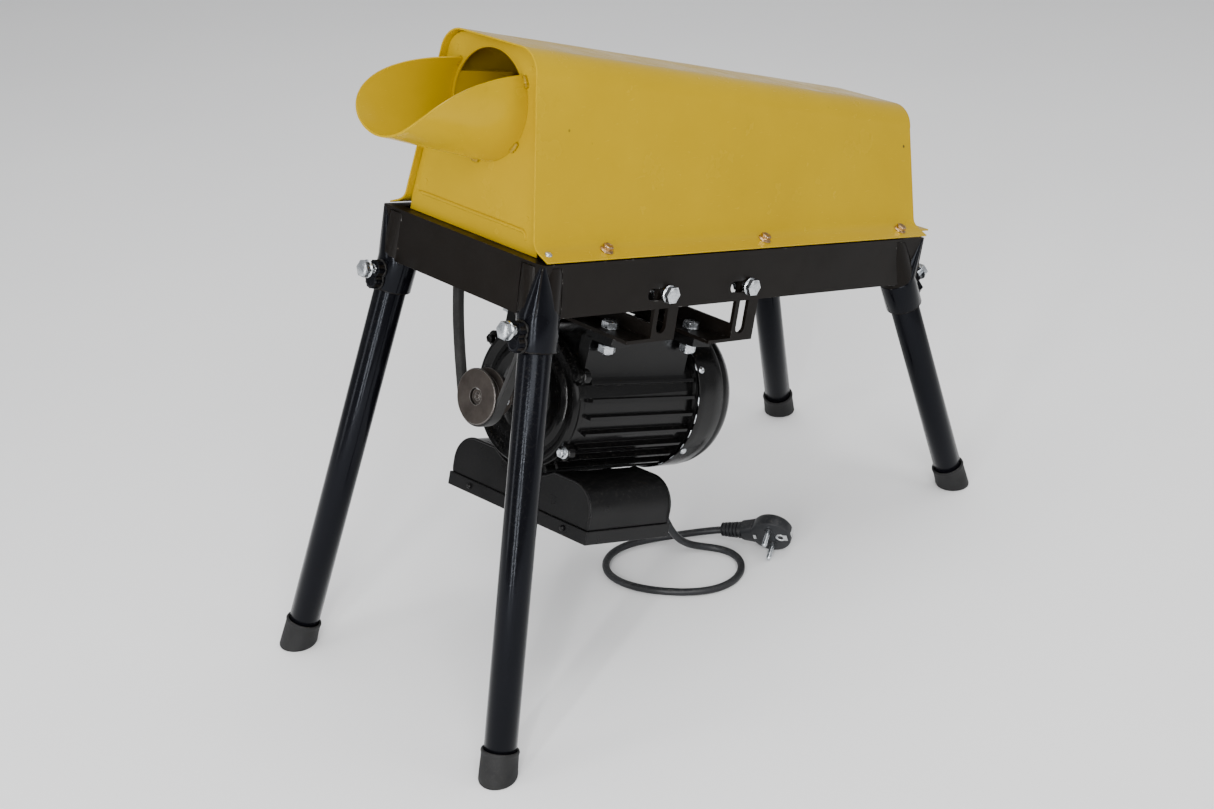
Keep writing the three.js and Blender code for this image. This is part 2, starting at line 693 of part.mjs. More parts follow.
function addEndShields() {
  const front = MOTOR_BODY.start - GAP;
  let drive = turned(
    [
      [50, 8.5],
      [50, 20],
      [53, 24],
      [60, 25],
      [60, 36],
      [56, 40],
      [56, 44],
      [59, 47],
      [59, 52],
      [54.6, 55],
      [54.6, 59.3],
      [front, 61.5],
      [front, 8.5],
    ],
    36,
  );
  for (const angle of earAngles) {
    drive = drive.add(bar(earPoint(angle, 59), earPoint(angle, front), EAR.size, 12));
    drive = drive.subtract(bar(earPoint(angle, 40), earPoint(angle, 80), 3, 8));
  }
  place('drive_end_shield', drive, MOTOR_PAINT, motor);

  const back = MOTOR_BODY.end + GAP;
  place('rear_end_shield', ring(back, back + 7, 8.5, 66.2, 40), MOTOR_PAINT, motor);
  place('fan_cover', fanCover(back + 1), MOTOR_PAINT, motor);
}

function fanCover(start) {
  const outer = [[start, 68.7], [238, 67.4], [244.5, 65], [247.8, 60], [248.6, 52], [248.6, 0]];
  const inner = [[247.1, 0], [247.1, 51.5], [246.4, 59], [243.4, 63.6], [237.4, 65.9], [start, 67.2]];
  let cover = turned([...outer.reverse(), ...inner.reverse()], 40);
  for (let i = 0; i < 8; i++) {
    const slot = new THREE.BoxGeometry(12, 26, 5).translate(248, 37, 0).rotateX((Math.PI / 4) * i);
    cover = cover.subtract(solid(slot));
  }
  return cover;
}

function addMotorInside() {
  const shaft = turned([[2, 0], [2, 7], [26.4, 7], [26.4, 8], [236, 8], [236, 0]], 20);
  place('motor_shaft', shaft, BRIGHT_STEEL, motor);
  place('motor_rotor', ring(94, 166, 8 + GAP, 32, 32), ALUMINIUM, motor);
  place('motor_stator', ring(92, 168, 33, MOTOR_BODY.bore - 2 * GAP, 32), WINDING, motor);

  const blade = (angle) => {
    const shape = new THREE.BoxGeometry(16, 38, 2.5).translate(222, 31, 0);
    return solid(shape.rotateX(angle));
  };
  const fan = [ring(213, 231, 8 + GAP, 14, 20), ring(213, 215, 12, 50, 32)];
  for (let i = 0; i < 8; i++) {
    fan.push(blade((Math.PI / 4) * i));
  }
  place('cooling_fan', join(fan), FAN_PLASTIC, motor);
}

// ---- Motor brackets and their bolts ----

// A cross rail of angle section with a slotted strap up each side of the tray.
function addBracket(name, { strap, low, slotCentre }) {
  const inside = TRAY.width / 2 - TRAY.wall - 0.4;
  const { wide, thick, top } = BRACKET;
  const flange = block([strap - 27, -inside, low], [strap + 3, inside, low + 3]);
  const web = block([strap, -inside, low], [strap + 3, inside, low + 15]);
  let bracket = flange.add(web);
  for (const side of [-1, 1]) {
    const edges = [side * (inside - thick), side * inside].sort((a, b) => a - b);
    bracket = bracket.add(block([strap, edges[0], low], [strap + wide, edges[1], top]));
    const half = 5.5;
    const zLow = low + 12;
    const zHigh = top - 9;
    const slot = block([slotCentre - half, -200, zLow], [slotCentre + half, 200, zHigh]);
    const ends = [zLow, zHigh].map((z) => bar(point(slotCentre, -200, z), point(slotCentre, 200, z), half, 14));
    const clear = block([-300, side < 0 ? -200 : 80, -100], [300, side < 0 ? -80 : 200, 100]);
    bracket = bracket.subtract(join([slot, ...ends]).intersect(clear));
    bracket = bracket.subtract(
      bar(point(strap - 12, side * 60, low - 1), point(strap - 12, side * 60, low + 4), M8.radius + GAP, 16),
    );
  }
  place(`motor_bracket_${name}`, bracket, BLACK_PAINT, tray);
}

// A bolt with its washer-faced head at one end and its nut drawn up at the other.
function boltAndNut(head, nut, tail) {
  const along = nut.clone().sub(head).normalize();
  const shank = bar(head.clone().addScaledVector(along, -1), nut.clone().addScaledVector(along, tail), M8.radius, 12);
  const hex = bar(head.clone().addScaledVector(along, -M8.headHeight), head, M8.head, 6);
  const hexNut = bar(nut, nut.clone().addScaledVector(along, M8.nutHeight), M8.nut, 6);
  return join([shank, hex, hexNut]);
}

function addBracketBolts(name, { bolt, foot, low }) {
  for (const [sideName, side] of [['near', -1], ['far', 1]]) {
    const outside = point(bolt, side * (TRAY.width / 2 + 1.2), TRAY_SLOT.z);
    const inside = point(bolt, side * (TRAY.width / 2 - TRAY.wall - 0.4 - BRACKET.thick - GAP), TRAY_SLOT.z);
    place(`mount_bolt_${name}_${sideName}`, boltAndNut(outside, inside, 9), ZINC, tray);
    const above = point(foot, side * 60, low + 3 + GAP);
    const below = point(foot, side * 60, low - 11.6);
    place(`foot_bolt_${name}_${sideName}`, boltAndNut(above, below, 9), ZINC, tray);
  }
}

// ---- Capacitor box ----

// The box's outline: rounded shoulders with a saddle between them for the motor's round body.
function boxOutline(inward) {
  const half = BOX.half - inward;
  const high = BOX.high - inward;
  const round = 24;
  const saddle = 69.4 + inward;
  const bottom = BOX.low + BOX.lid + GAP;
  const shape = new THREE.Shape();
  const shoulderAngle = Math.asin(-high / saddle);
  shape.moveTo(-half, bottom);
  shape.lineTo(half, bottom);
  shape.lineTo(half, high - round);
  shape.absarc(half - round, high - round, round, 0, Math.PI / 2, false);
  shape.absarc(0, 0, saddle, -shoulderAngle, -Math.PI + shoulderAngle, true);
  shape.absarc(-half + round, high - round, round, Math.PI / 2, Math.PI, false);
  return shape;
}

const CORD_EXIT = { y: -18, z: -84 };

function addCapacitorBox() {
  const { start, end, half, low, lid, wall } = BOX;
  const outside = plate(boxOutline(0), start, end);
  const inside = plate(boxOutline(wall), start + wall, end - wall);
  const drop = inside.translate(0, 0, -4);
  const hole = bar(point(end - 5, CORD_EXIT.y, CORD_EXIT.z), point(end + 5, CORD_EXIT.y, CORD_EXIT.z), 5.5, 16);
  place('capacitor_box', outside.subtract(inside).subtract(drop).subtract(hole), BOX_PAINT, capacitorGroup);

  const tub = block([start - 2, -half - 2, low], [end + 2, half + 2, low + lid]);
  const cavity = block([start, -half, low + wall], [end, half, low + lid + 1]);
  place('capacitor_box_lid', tub.subtract(cavity), BOX_PAINT, capacitorGroup);

  const centre = -82;
  place('run_capacitor', capacitor(0, -58, centre, 16), ALUMINIUM, capacitorGroup);
  place('start_capacitor', capacitor(0, 58, centre, 16), FAN_PLASTIC, capacitorGroup);

  const gland = turned(
    [
      [end - 6, 4.1],
      [end - 6, 5.2],
      [end + GAP, 5.2],
      [end + GAP, 8.5],
      [end + 5, 8.5],
      [end + 5, 6.8],
      [end + 24, 5.2],
      [end + 24, 4.1],
    ],
    20,
  );
  place('cord_relief', gland.translate(0, CORD_EXIT.y, CORD_EXIT.z), CORD_PLASTIC, capacitorGroup);
}

function capacitor(inset0, y, z, radius) {
  return bar(point(BOX.start + 12 + inset0, y, z), point(BOX.start + 84, y, z), radius, 20);
}

// ---- Cord and plug, in the machine's own frame ----

const PLUG = { centre: point(60, -72, 18.7), radius: 19.5, thick: 15, heading: -64, rise: 7.5, droop: 20 };

// The plug's three directions: along the cord, out of the face with the pins, and up its face.
function plugFrame() {
  const turn = new THREE.Matrix4().makeRotationFromEuler(
    new THREE.Euler(radians(PLUG.droop), -radians(PLUG.rise), radians(PLUG.heading), 'ZYX'),
  );
  const along = point(1, 0, 0).transformDirection(turn);
  const face = point(0, -1, 0).transformDirection(turn);
  const up = point(0, 0, 1).transformDirection(turn);
  return { along, face, up };
}

function addPlug() {
  const { along, face, up } = plugFrame();
  const at = (a, f, u) =>
    PLUG.centre.clone().addScaledVector(along, a).addScaledVector(face, f).addScaledVector(up, u);
  const pieces = [
    bar(at(0, -PLUG.thick, 0), at(0, 0, 0), PLUG.radius, 32),
    bar(at(-PLUG.radius - 10, -7.5, 0), at(-5, -7.5, 0), 7, 16, 9),
    bar(at(0, -1, 9.5), at(0, 19, 9.5), 2.4, 12),
    bar(at(0, -1, -9.5), at(0, 19, -9.5), 2.4, 12),
  ];
  place('mains_plug', join(pieces), CORD_PLASTIC, machine);
  const collar = bar(at(-PLUG.radius - 30, -7.5, 0), at(-PLUG.radius - 10 - GAP, -7.5, 0), 5, 16, 6.5);
  const bore = bar(at(-PLUG.radius - 31, -7.5, 0), at(-PLUG.radius - 9, -7.5, 0), CORD_DIAMETER / 2 + 2 * GAP, 12);
  place('plug_relief', collar.subtract(bore), CORD_PLASTIC, machine);
}

// The cord hangs from its relief to the floor, turns back, makes one loop and runs to the plug.
const CORD_ROUTE = [
  [-51, -22, 101],
  [-39, -22, 86],
  [-31, -21, 67],
  [-23, -20, 46],
  [-12, -18, 28],
  [2, -17, 14],
  [17, -20, 6],
  [30, -31, 3.9],
  [35, -46, 3.8],
  [31, -62, 3.8],
  [20, -75, 3.8],
  [4, -83, 3.8],
  [-14, -84, 3.8],
  [-31, -77, 3.8],
  [-47, -63, 3.8],
  [-61, -44, 3.8],
  [-73, -22, 3.8],
  [-77, 0, 3.8],
  [-71, 20, 3.8],
  [-56, 34, 3.8],
  [-36, 39, 3.8],
  [-15, 34, 3.8],
  [4, 22, 4],
  [22, 5, 7.5],
];

function cordRoute() {
  const { along, face } = plugFrame();
  const exit = (x) => inMachine(capacitorGroup, point(BOX.end + x, CORD_EXIT.y, CORD_EXIT.z));
  const plugAt = (a) => PLUG.centre.clone().addScaledVector(along, a).addScaledVector(face, -7.5);
  const start = [exit(1), exit(13), exit(25)];
  const end = [plugAt(-PLUG.radius - 34), plugAt(-PLUG.radius - 22), plugAt(-PLUG.radius - 10 - 2 * GAP)];
  return [...start, ...CORD_ROUTE.map((p) => point(...p)), ...end];
}

function addCord() {
  const route = new THREE.CatmullRomCurve3(cordRoute(), false, 'centripetal');
  const section = new THREE.Shape(
    Array.from({ length: CORD_SIDES }, (unused, i) => {
      const angle = (2 * Math.PI * i) / CORD_SIDES;
      const radius = CORD_DIAMETER / 2;
      return new THREE.Vector2(radius * Math.cos(angle), radius * Math.sin(angle));
    }),
  );
  const cord = new THREE.ExtrudeGeometry(section, { steps: 44, extrudePath: route, bevelEnabled: false });
  place('power_cord', solid(cord), CORD_PLASTIC, machine);
}

addTray();
addHood();
addScoop();
addFeedTrough();
addDrum();
addBearing('inlet', INLET_PLATE_X, -1);
addBearing('outlet', OUTLET_PLATE_X, 1);
addGrate();
addBelt();
addMotorBody();
addEndShields();
addMotorInside();
addBracket('front', BRACKET.front);
addBracket('rear', BRACKET.rear);
addBracketBolts('front', BRACKET.front);
addBracketBolts('rear', BRACKET.rear);
addCapacitorBox();
addPlug();
addCord();

export default machine;
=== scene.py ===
"""The looks of an electric corn sheller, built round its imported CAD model.

Sizes are millimetres in the part's own frames and are scaled to metres as each piece is made.
The tray's frame tilts about Y, and the motor's and the drum's frames sit in it.
"""

import json
import math

import bmesh
import bpy
from mathutils import Matrix, Vector, noise

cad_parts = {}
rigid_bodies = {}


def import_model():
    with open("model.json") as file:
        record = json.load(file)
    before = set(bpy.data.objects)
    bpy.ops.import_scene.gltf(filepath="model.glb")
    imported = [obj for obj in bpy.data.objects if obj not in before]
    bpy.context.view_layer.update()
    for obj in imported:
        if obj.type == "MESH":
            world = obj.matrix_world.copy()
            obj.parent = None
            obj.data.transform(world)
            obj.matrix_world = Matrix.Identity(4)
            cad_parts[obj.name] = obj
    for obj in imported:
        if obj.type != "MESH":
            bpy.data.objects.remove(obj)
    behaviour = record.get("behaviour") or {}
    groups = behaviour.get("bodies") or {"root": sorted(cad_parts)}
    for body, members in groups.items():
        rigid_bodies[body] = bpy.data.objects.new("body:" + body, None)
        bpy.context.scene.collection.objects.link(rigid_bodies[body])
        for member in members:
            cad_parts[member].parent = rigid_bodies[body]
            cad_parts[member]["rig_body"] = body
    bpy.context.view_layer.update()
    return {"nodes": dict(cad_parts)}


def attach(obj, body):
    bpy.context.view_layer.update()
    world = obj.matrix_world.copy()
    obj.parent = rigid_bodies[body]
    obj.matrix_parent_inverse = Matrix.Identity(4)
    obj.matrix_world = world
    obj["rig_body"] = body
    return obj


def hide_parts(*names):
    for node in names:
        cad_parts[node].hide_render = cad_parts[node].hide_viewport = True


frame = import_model()
MM = 0.001

# ---- Driving dimensions, as in the CAD source ----

MACHINE_X = 27.2
TRAY_LIFT, TRAY_TILT = 292, 15
MOTOR_X, MOTOR_Z, MOTOR_TILT = -200.7, -96.3, 4.65
BOX_ROLL = -2.8
DRUM_AXIS_Z = 48
BELT_PLANE = 7
SHEET = 1.5
HOOD_FRONT, HOOD_BACK = -235, 244
INLET_PLATE_FACE = HOOD_FRONT + 6
FEED_HOLE_Z = 148
CORD_DIAMETER = 7
CORD_EXIT = Vector((166, -18, -84))
M8_FLATS, M8_NUT, M8_RADIUS = 13, 6.2, 3.95


def moved(x, y, z):
    """A move in millimetres, as a matrix in metres."""
    return Matrix.Translation((x * MM, y * MM, z * MM))


def rotated(degrees, axis, size=4):
    """A turn about an axis, as a matrix of 3 or 4 rows."""
    return Matrix.Rotation(math.radians(degrees), size, axis)


FLOOR = moved(MACHINE_X, 0, 0)
TRAY = moved(MACHINE_X, 0, TRAY_LIFT) @ rotated(TRAY_TILT, "Y")
MOTOR = TRAY @ moved(MOTOR_X, 0, MOTOR_Z) @ rotated(MOTOR_TILT, "Y")
BOX = MOTOR @ rotated(BOX_ROLL, "X")
DRUM = TRAY @ moved(0, 0, DRUM_AXIS_Z)
SIDES = (("near", -1), ("far", 1))

# ---- Camera ----

CAMERA_PLACE = (-1.0518, -1.112, 0.9728)
CAMERA_AZIMUTH, CAMERA_ELEVATION, CAMERA_ROLL = -42.112, 27.676, -2.703
CAMERA_LENS, CAMERA_SENSOR = 56.9, 36


def make_camera():
    azimuth, elevation, roll = (math.radians(a) for a in (CAMERA_AZIMUTH, CAMERA_ELEVATION, CAMERA_ROLL))
    level = math.cos(elevation)
    back = Vector((math.sin(azimuth) * level, -math.cos(azimuth) * level, math.sin(elevation)))
    right = Vector((0, 0, 1)).cross(back).normalized()
    up = back.cross(right)
    x = right * math.cos(roll) + up * math.sin(roll)
    y = up * math.cos(roll) - right * math.sin(roll)
    data = bpy.data.cameras.new("camera")
    data.lens = CAMERA_LENS
    data.sensor_width = CAMERA_SENSOR
    camera = bpy.data.objects.new("camera", data)
    camera.matrix_world = Matrix.Translation(CAMERA_PLACE) @ Matrix((x, y, back)).transposed().to_4x4()
    bpy.context.scene.collection.objects.link(camera)
    bpy.context.scene.camera = camera


make_camera()

# ---- Materials ----

DUST = (0.56, 0.52, 0.45)
PLASTIC_DUST = (0.5, 0.47, 0.42)
BARE_STEEL = (0.33, 0.32, 0.31)
RUBBED_ZINC = (0.86, 0.86, 0.86)
RUBBED_STEEL = (0.62, 0.60, 0.58)
STEEL_RUST = (0.16, 0.075, 0.035)
CAST_RUST = (0.14, 0.07, 0.04)
SCUFF = (0.09, 0.088, 0.085)


def darker(color, share):
    return [c * share for c in color]


class Shader:
    """A material's node tree, with short calls for the nodes that most materials share."""

    def __init__(self, name):
        self.material = bpy.data.materials.new(name)
        self.material.use_nodes = True
        self.nodes = self.material.node_tree.nodes
        self.links = self.material.node_tree.links
        self.surface = self.nodes["Principled BSDF"]
        self.where = self.nodes.new("ShaderNodeTexCoord").outputs["Object"]

    def join(self, source, socket):
        """Links an output to an input, or sets the input to a plain value."""
        if hasattr(source, "is_output"):
            self.links.new(source, socket)
        else:
            socket.default_value = source

    def node(self, kind, **inputs):
        """A new node with its inputs linked or set. An underscore in a name stands for a space."""
        node = self.nodes.new(f"ShaderNode{kind}")
        for name, source in inputs.items():
            self.join(source, node.inputs[name.replace("_", " ")])
        return node

    def noise(self, scale, detail=4, roughness=0.55, stretch=None, distortion=0.0):
        """Cloudy noise from 0 to 1. stretch squeezes it along the axes."""
        where = self.where
        if stretch:
            where = self.node("Mapping", Vector=where, Scale=stretch).outputs["Vector"]
        cloud = self.node("TexNoise", Vector=where, Scale=scale, Detail=detail, Roughness=roughness)
        cloud.inputs["Distortion"].default_value = distortion
        return cloud.outputs["Fac"]

    def cells(self, scale):
        """Distance from the nearest of many scattered points."""
        return self.node("TexVoronoi", Vector=self.where, Scale=scale).outputs["Distance"]

    def waves(self, where, scale, distortion=0.0):
        """Straight bands along X."""
        return self.node("TexWave", Vector=where, Scale=scale, Distortion=distortion).outputs["Fac"]

    def steps(self, source, low, high, start=0.0, end=1.0):
        """A value moved from one range to another, and held inside it."""
        node = self.node("MapRange", Value=source, From_Min=low, From_Max=high, To_Min=start, To_Max=end)
        return node.outputs["Result"]

    def math(self, operation, a, b):
        node = self.nodes.new("ShaderNodeMath")
        node.operation = operation
        self.join(a, node.inputs[0])
        self.join(b, node.inputs[1])
        return node.outputs["Value"]

    def mix(self, factor, a, b):
        """Colour a where the factor is 0 and colour b where it is 1."""
        node = self.nodes.new("ShaderNodeMix")
        node.data_type = "RGBA"
        self.join(factor, node.inputs["Factor"])
        for value, socket in ((a, node.inputs["A"]), (b, node.inputs["B"])):
            self.join(value if hasattr(value, "is_output") else (*value, 1), socket)
        return node.outputs["Result"]

    def edges(self, radius):
        """1 on worn outer edges and 0 on flat faces."""
        bevel = self.node("Bevel", Radius=radius)
        bevel.samples = 3
        dot = self.nodes.new("ShaderNodeVectorMath")
        dot.operation = "DOT_PRODUCT"
        self.join(bevel.outputs["Normal"], dot.inputs[0])
        self.join(self.node("NewGeometry").outputs["Normal"], dot.inputs[1])
        return self.steps(dot.outputs["Value"], 0.97, 0.80)

    def upward(self):
        """1 on faces that look up, where dust settles."""
        normal = self.node("NewGeometry").outputs["Normal"]
        return self.steps(self.node("SeparateXYZ", Vector=normal).outputs["Z"], 0.2, 1.0)

    def lathe_place(self):
        """A vector that changes with the distance along and from the piece's own X axis."""
        split = self.node("SeparateXYZ", Vector=self.where).outputs
        squares = [self.math("MULTIPLY", split[axis], split[axis]) for axis in "YZ"]
        radius = self.math("SQRT", self.math("ADD", *squares), 0.0)
        return self.node("CombineXYZ", X=self.math("ADD", radius, split["X"])).outputs["Vector"]

    def bump(self, *layers):
        """Stacks (height, strength, distance) layers into one normal."""
        normal = None
        for height, strength, distance in layers:
            node = self.node("Bump", Height=height, Strength=strength, Distance=distance)
            if normal:
                self.join(normal, node.inputs["Normal"])
            normal = node.outputs["Normal"]
        self.join(normal, self.surface.inputs["Normal"])

    def finish(self, color, roughness, metallic=0.0, level=0.5, tint=(1, 1, 1), sheen=0.0):
        """Sets the surface. level and tint are the specular reflection's strength and colour."""
        self.join(color, self.surface.inputs["Base Color"])
        self.join(roughness, self.surface.inputs["Roughness"])
        self.join(metallic, self.surface.inputs["Metallic"])
        self.surface.inputs["Specular IOR Level"].default_value = level
        self.surface.inputs["Specular Tint"].default_value = (*tint, 1)
        self.surface.inputs["Sheen Weight"].default_value = sheen
        return self.material


def paint(name, color, shade, roughness, peel, chips, dust, level, tint=(1, 1, 1), nick=(0.16, 0.14, 0.12)):
    """Powder coat or enamel: mottled colour, orange peel, fine scratches, dust and chips on the edges."""
    s = Shader(name)
    body = s.mix(s.steps(s.noise(9, 6), 0.3, 0.7), color, shade)
    grime = s.steps(s.noise(38, 8, 0.7), 0.62, 0.8, 0, 0.22)
    body = s.mix(grime, body, darker(shade, 0.62))
    specks = s.math("MULTIPLY", s.upward(), s.steps(s.noise(420, 3), 0.52, 0.72, 0, dust))
    body = s.mix(specks, body, DUST)
    worn = s.math("MULTIPLY", s.edges(0.0011), s.steps(s.noise(150, 5, 0.75), chips, chips + 0.05))
    body = s.mix(worn, body, BARE_STEEL)
    nicks = s.math("MULTIPLY", s.steps(s.cells(38), 0.06, 0.045), s.steps(s.noise(16, 3), 0.56, 0.60))
    body = s.mix(nicks, body, nick)
    scratches = s.steps(s.noise(95, 2, 0.4, (1, 14, 5), 0.6), 0.70, 0.76)
    smears = s.steps(s.noise(24, 5, 0.6), 0.35, 0.7, roughness * 0.8, roughness * 1.35)
    gloss = s.math("ADD", smears, s.math("MULTIPLY", scratches, 0.14))
    gloss = s.math("ADD", gloss, s.math("MULTIPLY", specks, 0.4))
    s.bump(
        (s.noise(6.5, 2), 0.3, 0.003),
        (s.noise(peel, 2), 0.12, 0.0003),
        (scratches, 0.10, -0.0001),
        (nicks, 0.3, -0.0002),
    )
    return s.finish(body, gloss, worn, level, tint)


def plated(name, color, tint, roughness):
    """Zinc plate: spangled tint, pits and rubbed edges."""
    s = Shader(name)
    body = s.mix(s.steps(s.cells(700), 0.1, 0.7), color, tint)
    stain = s.steps(s.noise(160, 7, 0.7), 0.5, 0.75, 0, 0.55)
    body = s.mix(stain, body, darker(tint, 0.45))
    body = s.mix(s.math("MULTIPLY", s.edges(0.0006), 0.5), body, RUBBED_ZINC)
    pits = s.noise(260, 4)
    smears = s.steps(pits, 0.3, 0.7, roughness * 0.7, roughness * 1.4)
    s.bump((s.noise(900, 3), 0.15, 0.0002), (pits, 0.1, 0.0003))
    return s.finish(body, s.math("ADD", smears, s.math("MULTIPLY", stain, 0.3)), 1.0)


def turned(name, color, shade, roughness, pitch, rust):
    """Lathe-cut steel: rings about the piece's own axis, oil film and a little rust."""
    s = Shader(name)
    rings = s.waves(s.lathe_place(), 0.3 / pitch, 0.4)
    film = s.steps(s.noise(45, 6, 0.65), 0.35, 0.7)
    body = s.mix(film, color, shade)
    body = s.mix(s.steps(s.noise(210, 6, 0.8), 0.60, 0.74, 0, rust), body, STEEL_RUST)
    body = s.mix(s.math("MULTIPLY", s.edges(0.0009), 0.6), body, RUBBED_STEEL)
    smears = s.steps(film, 0, 1, roughness, roughness * 1.5)
    s.bump((rings, 0.3, 0.0001), (s.noise(500, 4), 0.1, 0.0002))
    return s.finish(body, s.math("ADD", smears, s.math("MULTIPLY", rings, 0.1)), 0.95)


def cast(name, color, shade):
    """Sand-cast iron: grainy, dull, with a thin oily sheen."""
    s = Shader(name)
    grain = s.noise(650, 8, 0.75)
    body = s.mix(s.steps(grain, 0.35, 0.65), color, shade)
    body = s.mix(s.steps(s.noise(70, 6, 0.7), 0.58, 0.75, 0, 0.5), body, CAST_RUST)
    s.bump((grain, 0.5, 0.0006), (s.cells(240), 0.15, 0.0005))
    return s.finish(body, s.steps(s.noise(90, 5), 0.3, 0.7, 0.45, 0.72), 0.6)


def moulded(name, color, shade, roughness, grain, sheen=0.0):
    """Rubber, PVC or plastic: fine moulded grain, scuffs and settled dust."""
    s = Shader(name)
    body = s.mix(s.steps(s.noise(60, 5), 0.3, 0.7), color, shade)
    scuffs = s.steps(s.noise(130, 7, 0.8, (1, 3, 1)), 0.60, 0.75, 0, 0.3)
    body = s.mix(scuffs, body, SCUFF)
    dust = s.math("MULTIPLY", s.upward(), s.steps(s.noise(500, 4), 0.5, 0.75, 0, 0.08))
    body = s.mix(dust, body, PLASTIC_DUST)
    smears = s.steps(s.noise(45, 4), 0.3, 0.7, roughness * 0.85, roughness * 1.2)
    s.bump((s.noise(grain, 3, 0.6), 0.25, 0.0002), (s.noise(200, 3), 0.08, 0.0004))
    return s.finish(body, s.math("ADD", smears, s.math("MULTIPLY", scuffs, 0.3)), level=0.3, sheen=sheen)


def weld_metal(name, color):
    """A weld bead under paint, with spatter and a rippled skin."""
    s = Shader(name)
    ripple = s.noise(520, 4, 0.6)
    body = s.mix(s.steps(ripple, 0.3, 0.7), color, darker(color, 0.6))
    s.bump((ripple, 0.5, 0.0005), (s.cells(900), 0.2, 0.0003))
    return s.finish(body, s.steps(ripple, 0.2, 0.8, 0.3, 0.5), 0.1, level=0.25)


def winding_metal(name):
    """Varnished copper wire, wound in fine bands."""
    s = Shader(name)
    wires = s.waves(s.where, 320)
    s.bump((wires, 0.5, 0.0005))
    body = s.mix(wires, (0.42, 0.17, 0.06), (0.16, 0.07, 0.03))
    return s.finish(body, s.steps(s.noise(80), 0.3, 0.7, 0.3, 0.5), 0.6)


MATERIALS = {
    "black_paint": paint(
        "black_powder_coat", (0.0036, 0.0026, 0.0019), (0.0062, 0.0047, 0.0036),
        roughness=0.36, peel=900, chips=0.60, dust=0.04, level=0.1,
    ),
    "leg_paint": paint(
        "leg_enamel", (0.0016, 0.0016, 0.0022), (0.0028, 0.0028, 0.0042),
        roughness=0.17, peel=620, chips=0.62, dust=0.03, level=0.13, tint=(0.82, 0.88, 1),
    ),
    "yellow_paint": paint(
        "yellow_powder_coat", (0.43, 0.278, 0), (0.38, 0.24, 0),
        roughness=0.22, peel=700, chips=0.66, dust=0.006, level=0.35, tint=(1, 0.68, 0.02),
        nick=(0.05, 0.035, 0.02),
    ),
    "motor_paint": paint(
        "motor_enamel", (0.0018, 0.0017, 0.0017), (0.0032, 0.0032, 0.0034),
        roughness=0.2, peel=500, chips=0.62, dust=0.03, level=0.2,
    ),
    "box_paint": paint(
        "box_powder_coat", (0.0030, 0.0030, 0.0032), (0.0052, 0.0052, 0.0056),
        roughness=0.33, peel=1000, chips=0.62, dust=0.03, level=0.17,
    ),
    "zinc": plated("bright_zinc", (0.70, 0.72, 0.74), (0.50, 0.53, 0.56), 0.24),
    "yellow_zinc": plated("yellow_zinc", (0.52, 0.33, 0.11), (0.38, 0.24, 0.12), 0.26),
    "aluminium": plated("drawn_aluminium", (0.72, 0.73, 0.74), (0.60, 0.61, 0.62), 0.3),
    "bright_steel": turned("ground_steel", (0.52, 0.52, 0.53), (0.38, 0.38, 0.39), 0.26, 0.0003, 0.2),
    "turned_steel": turned("turned_steel", (0.075, 0.064, 0.057), (0.042, 0.035, 0.031), 0.36, 0.00045, 0.15),
    "cast_iron": cast("cast_iron", (0.14, 0.135, 0.13), (0.075, 0.072, 0.07)),
    "winding": winding_metal("varnished_winding"),
    "cap_rubber": moulded("cap_rubber", (0.006, 0.006, 0.0065), (0.011, 0.011, 0.011), 0.62, 1500),
    "belt_rubber": moulded("belt_fabric", (0.006, 0.006, 0.006), (0.014, 0.0135, 0.013), 0.78, 2200, 0.1),
    "cord_plastic": moulded("cord_pvc", (0.010, 0.0105, 0.012), (0.016, 0.017, 0.019), 0.42, 1300),
    "fan_plastic": moulded("fan_plastic", (0.03, 0.03, 0.032), (0.045, 0.045, 0.047), 0.5, 900),
    "black_weld": weld_metal("painted_weld", (0.005, 0.0045, 0.004)),
    "yellow_weld": weld_metal("yellow_weld", (0.34, 0.21, 0)),
}
# Their patterns run about the piece's own axis, so these pieces keep a frame of their own.
TURNED = ("turned_steel", "bright_steel", "winding")

# ---- Meshes ----


def round_edges(piece, width, angle):
    """Rounds every edge that turns by more than an angle in degrees."""
    rounding = piece.modifiers.new("rounding", "BEVEL")
    rounding.width = width * MM
    rounding.segments = 3
    rounding.limit_method = "ANGLE"
    rounding.angle_limit = math.radians(angle)
    rounding.harden_normals = True


def make(name, bm, space, body, material, bevel=0.0, sharp=35, replaces=None):
    """Turns a bmesh in millimetres into a piece that stands in its frame and rides on a body."""
    bmesh.ops.scale(bm, vec=(MM, MM, MM), verts=bm.verts)
    bmesh.ops.recalc_face_normals(bm, faces=bm.faces)
    mesh = bpy.data.meshes.new(name)
    bm.to_mesh(mesh)
    bm.free()
    mesh.shade_smooth()
    mesh.set_sharp_from_angle(angle=math.radians(sharp))
    piece = bpy.data.objects.new(name, mesh)
    bpy.context.scene.collection.objects.link(piece)
    if material in TURNED:
        piece.matrix_world = space
    else:
        mesh.transform(space)
    mesh.materials.append(MATERIALS[material])
    if bevel:
        round_edges(piece, bevel, 32)
    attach(piece, body)
    if replaces:
        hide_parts(replaces)
    return piece


def refine(node, space, material, bevel):
    """A copy of a CAD node with its triangles merged into faces and its edges rounded."""
    source = frame["nodes"][node]
    bm = bmesh.new()
    bm.from_mesh(source.data)
    bmesh.ops.transform(bm, matrix=Matrix.Scale(1 / MM, 4) @ space.inverted(), verts=bm.verts)
    bmesh.ops.remove_doubles(bm, verts=bm.verts, dist=0.01)
    bmesh.ops.dissolve_limit(bm, angle_limit=math.radians(1), verts=bm.verts, edges=bm.edges)
    return make(f"{node}_piece", bm, space, source["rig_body"], material, bevel, 30, node)


def polar(x, radius, angle):
    """A point at a radius and an angle in radians about the X axis."""
    return Vector((x, radius * math.cos(angle), radius * math.sin(angle)))


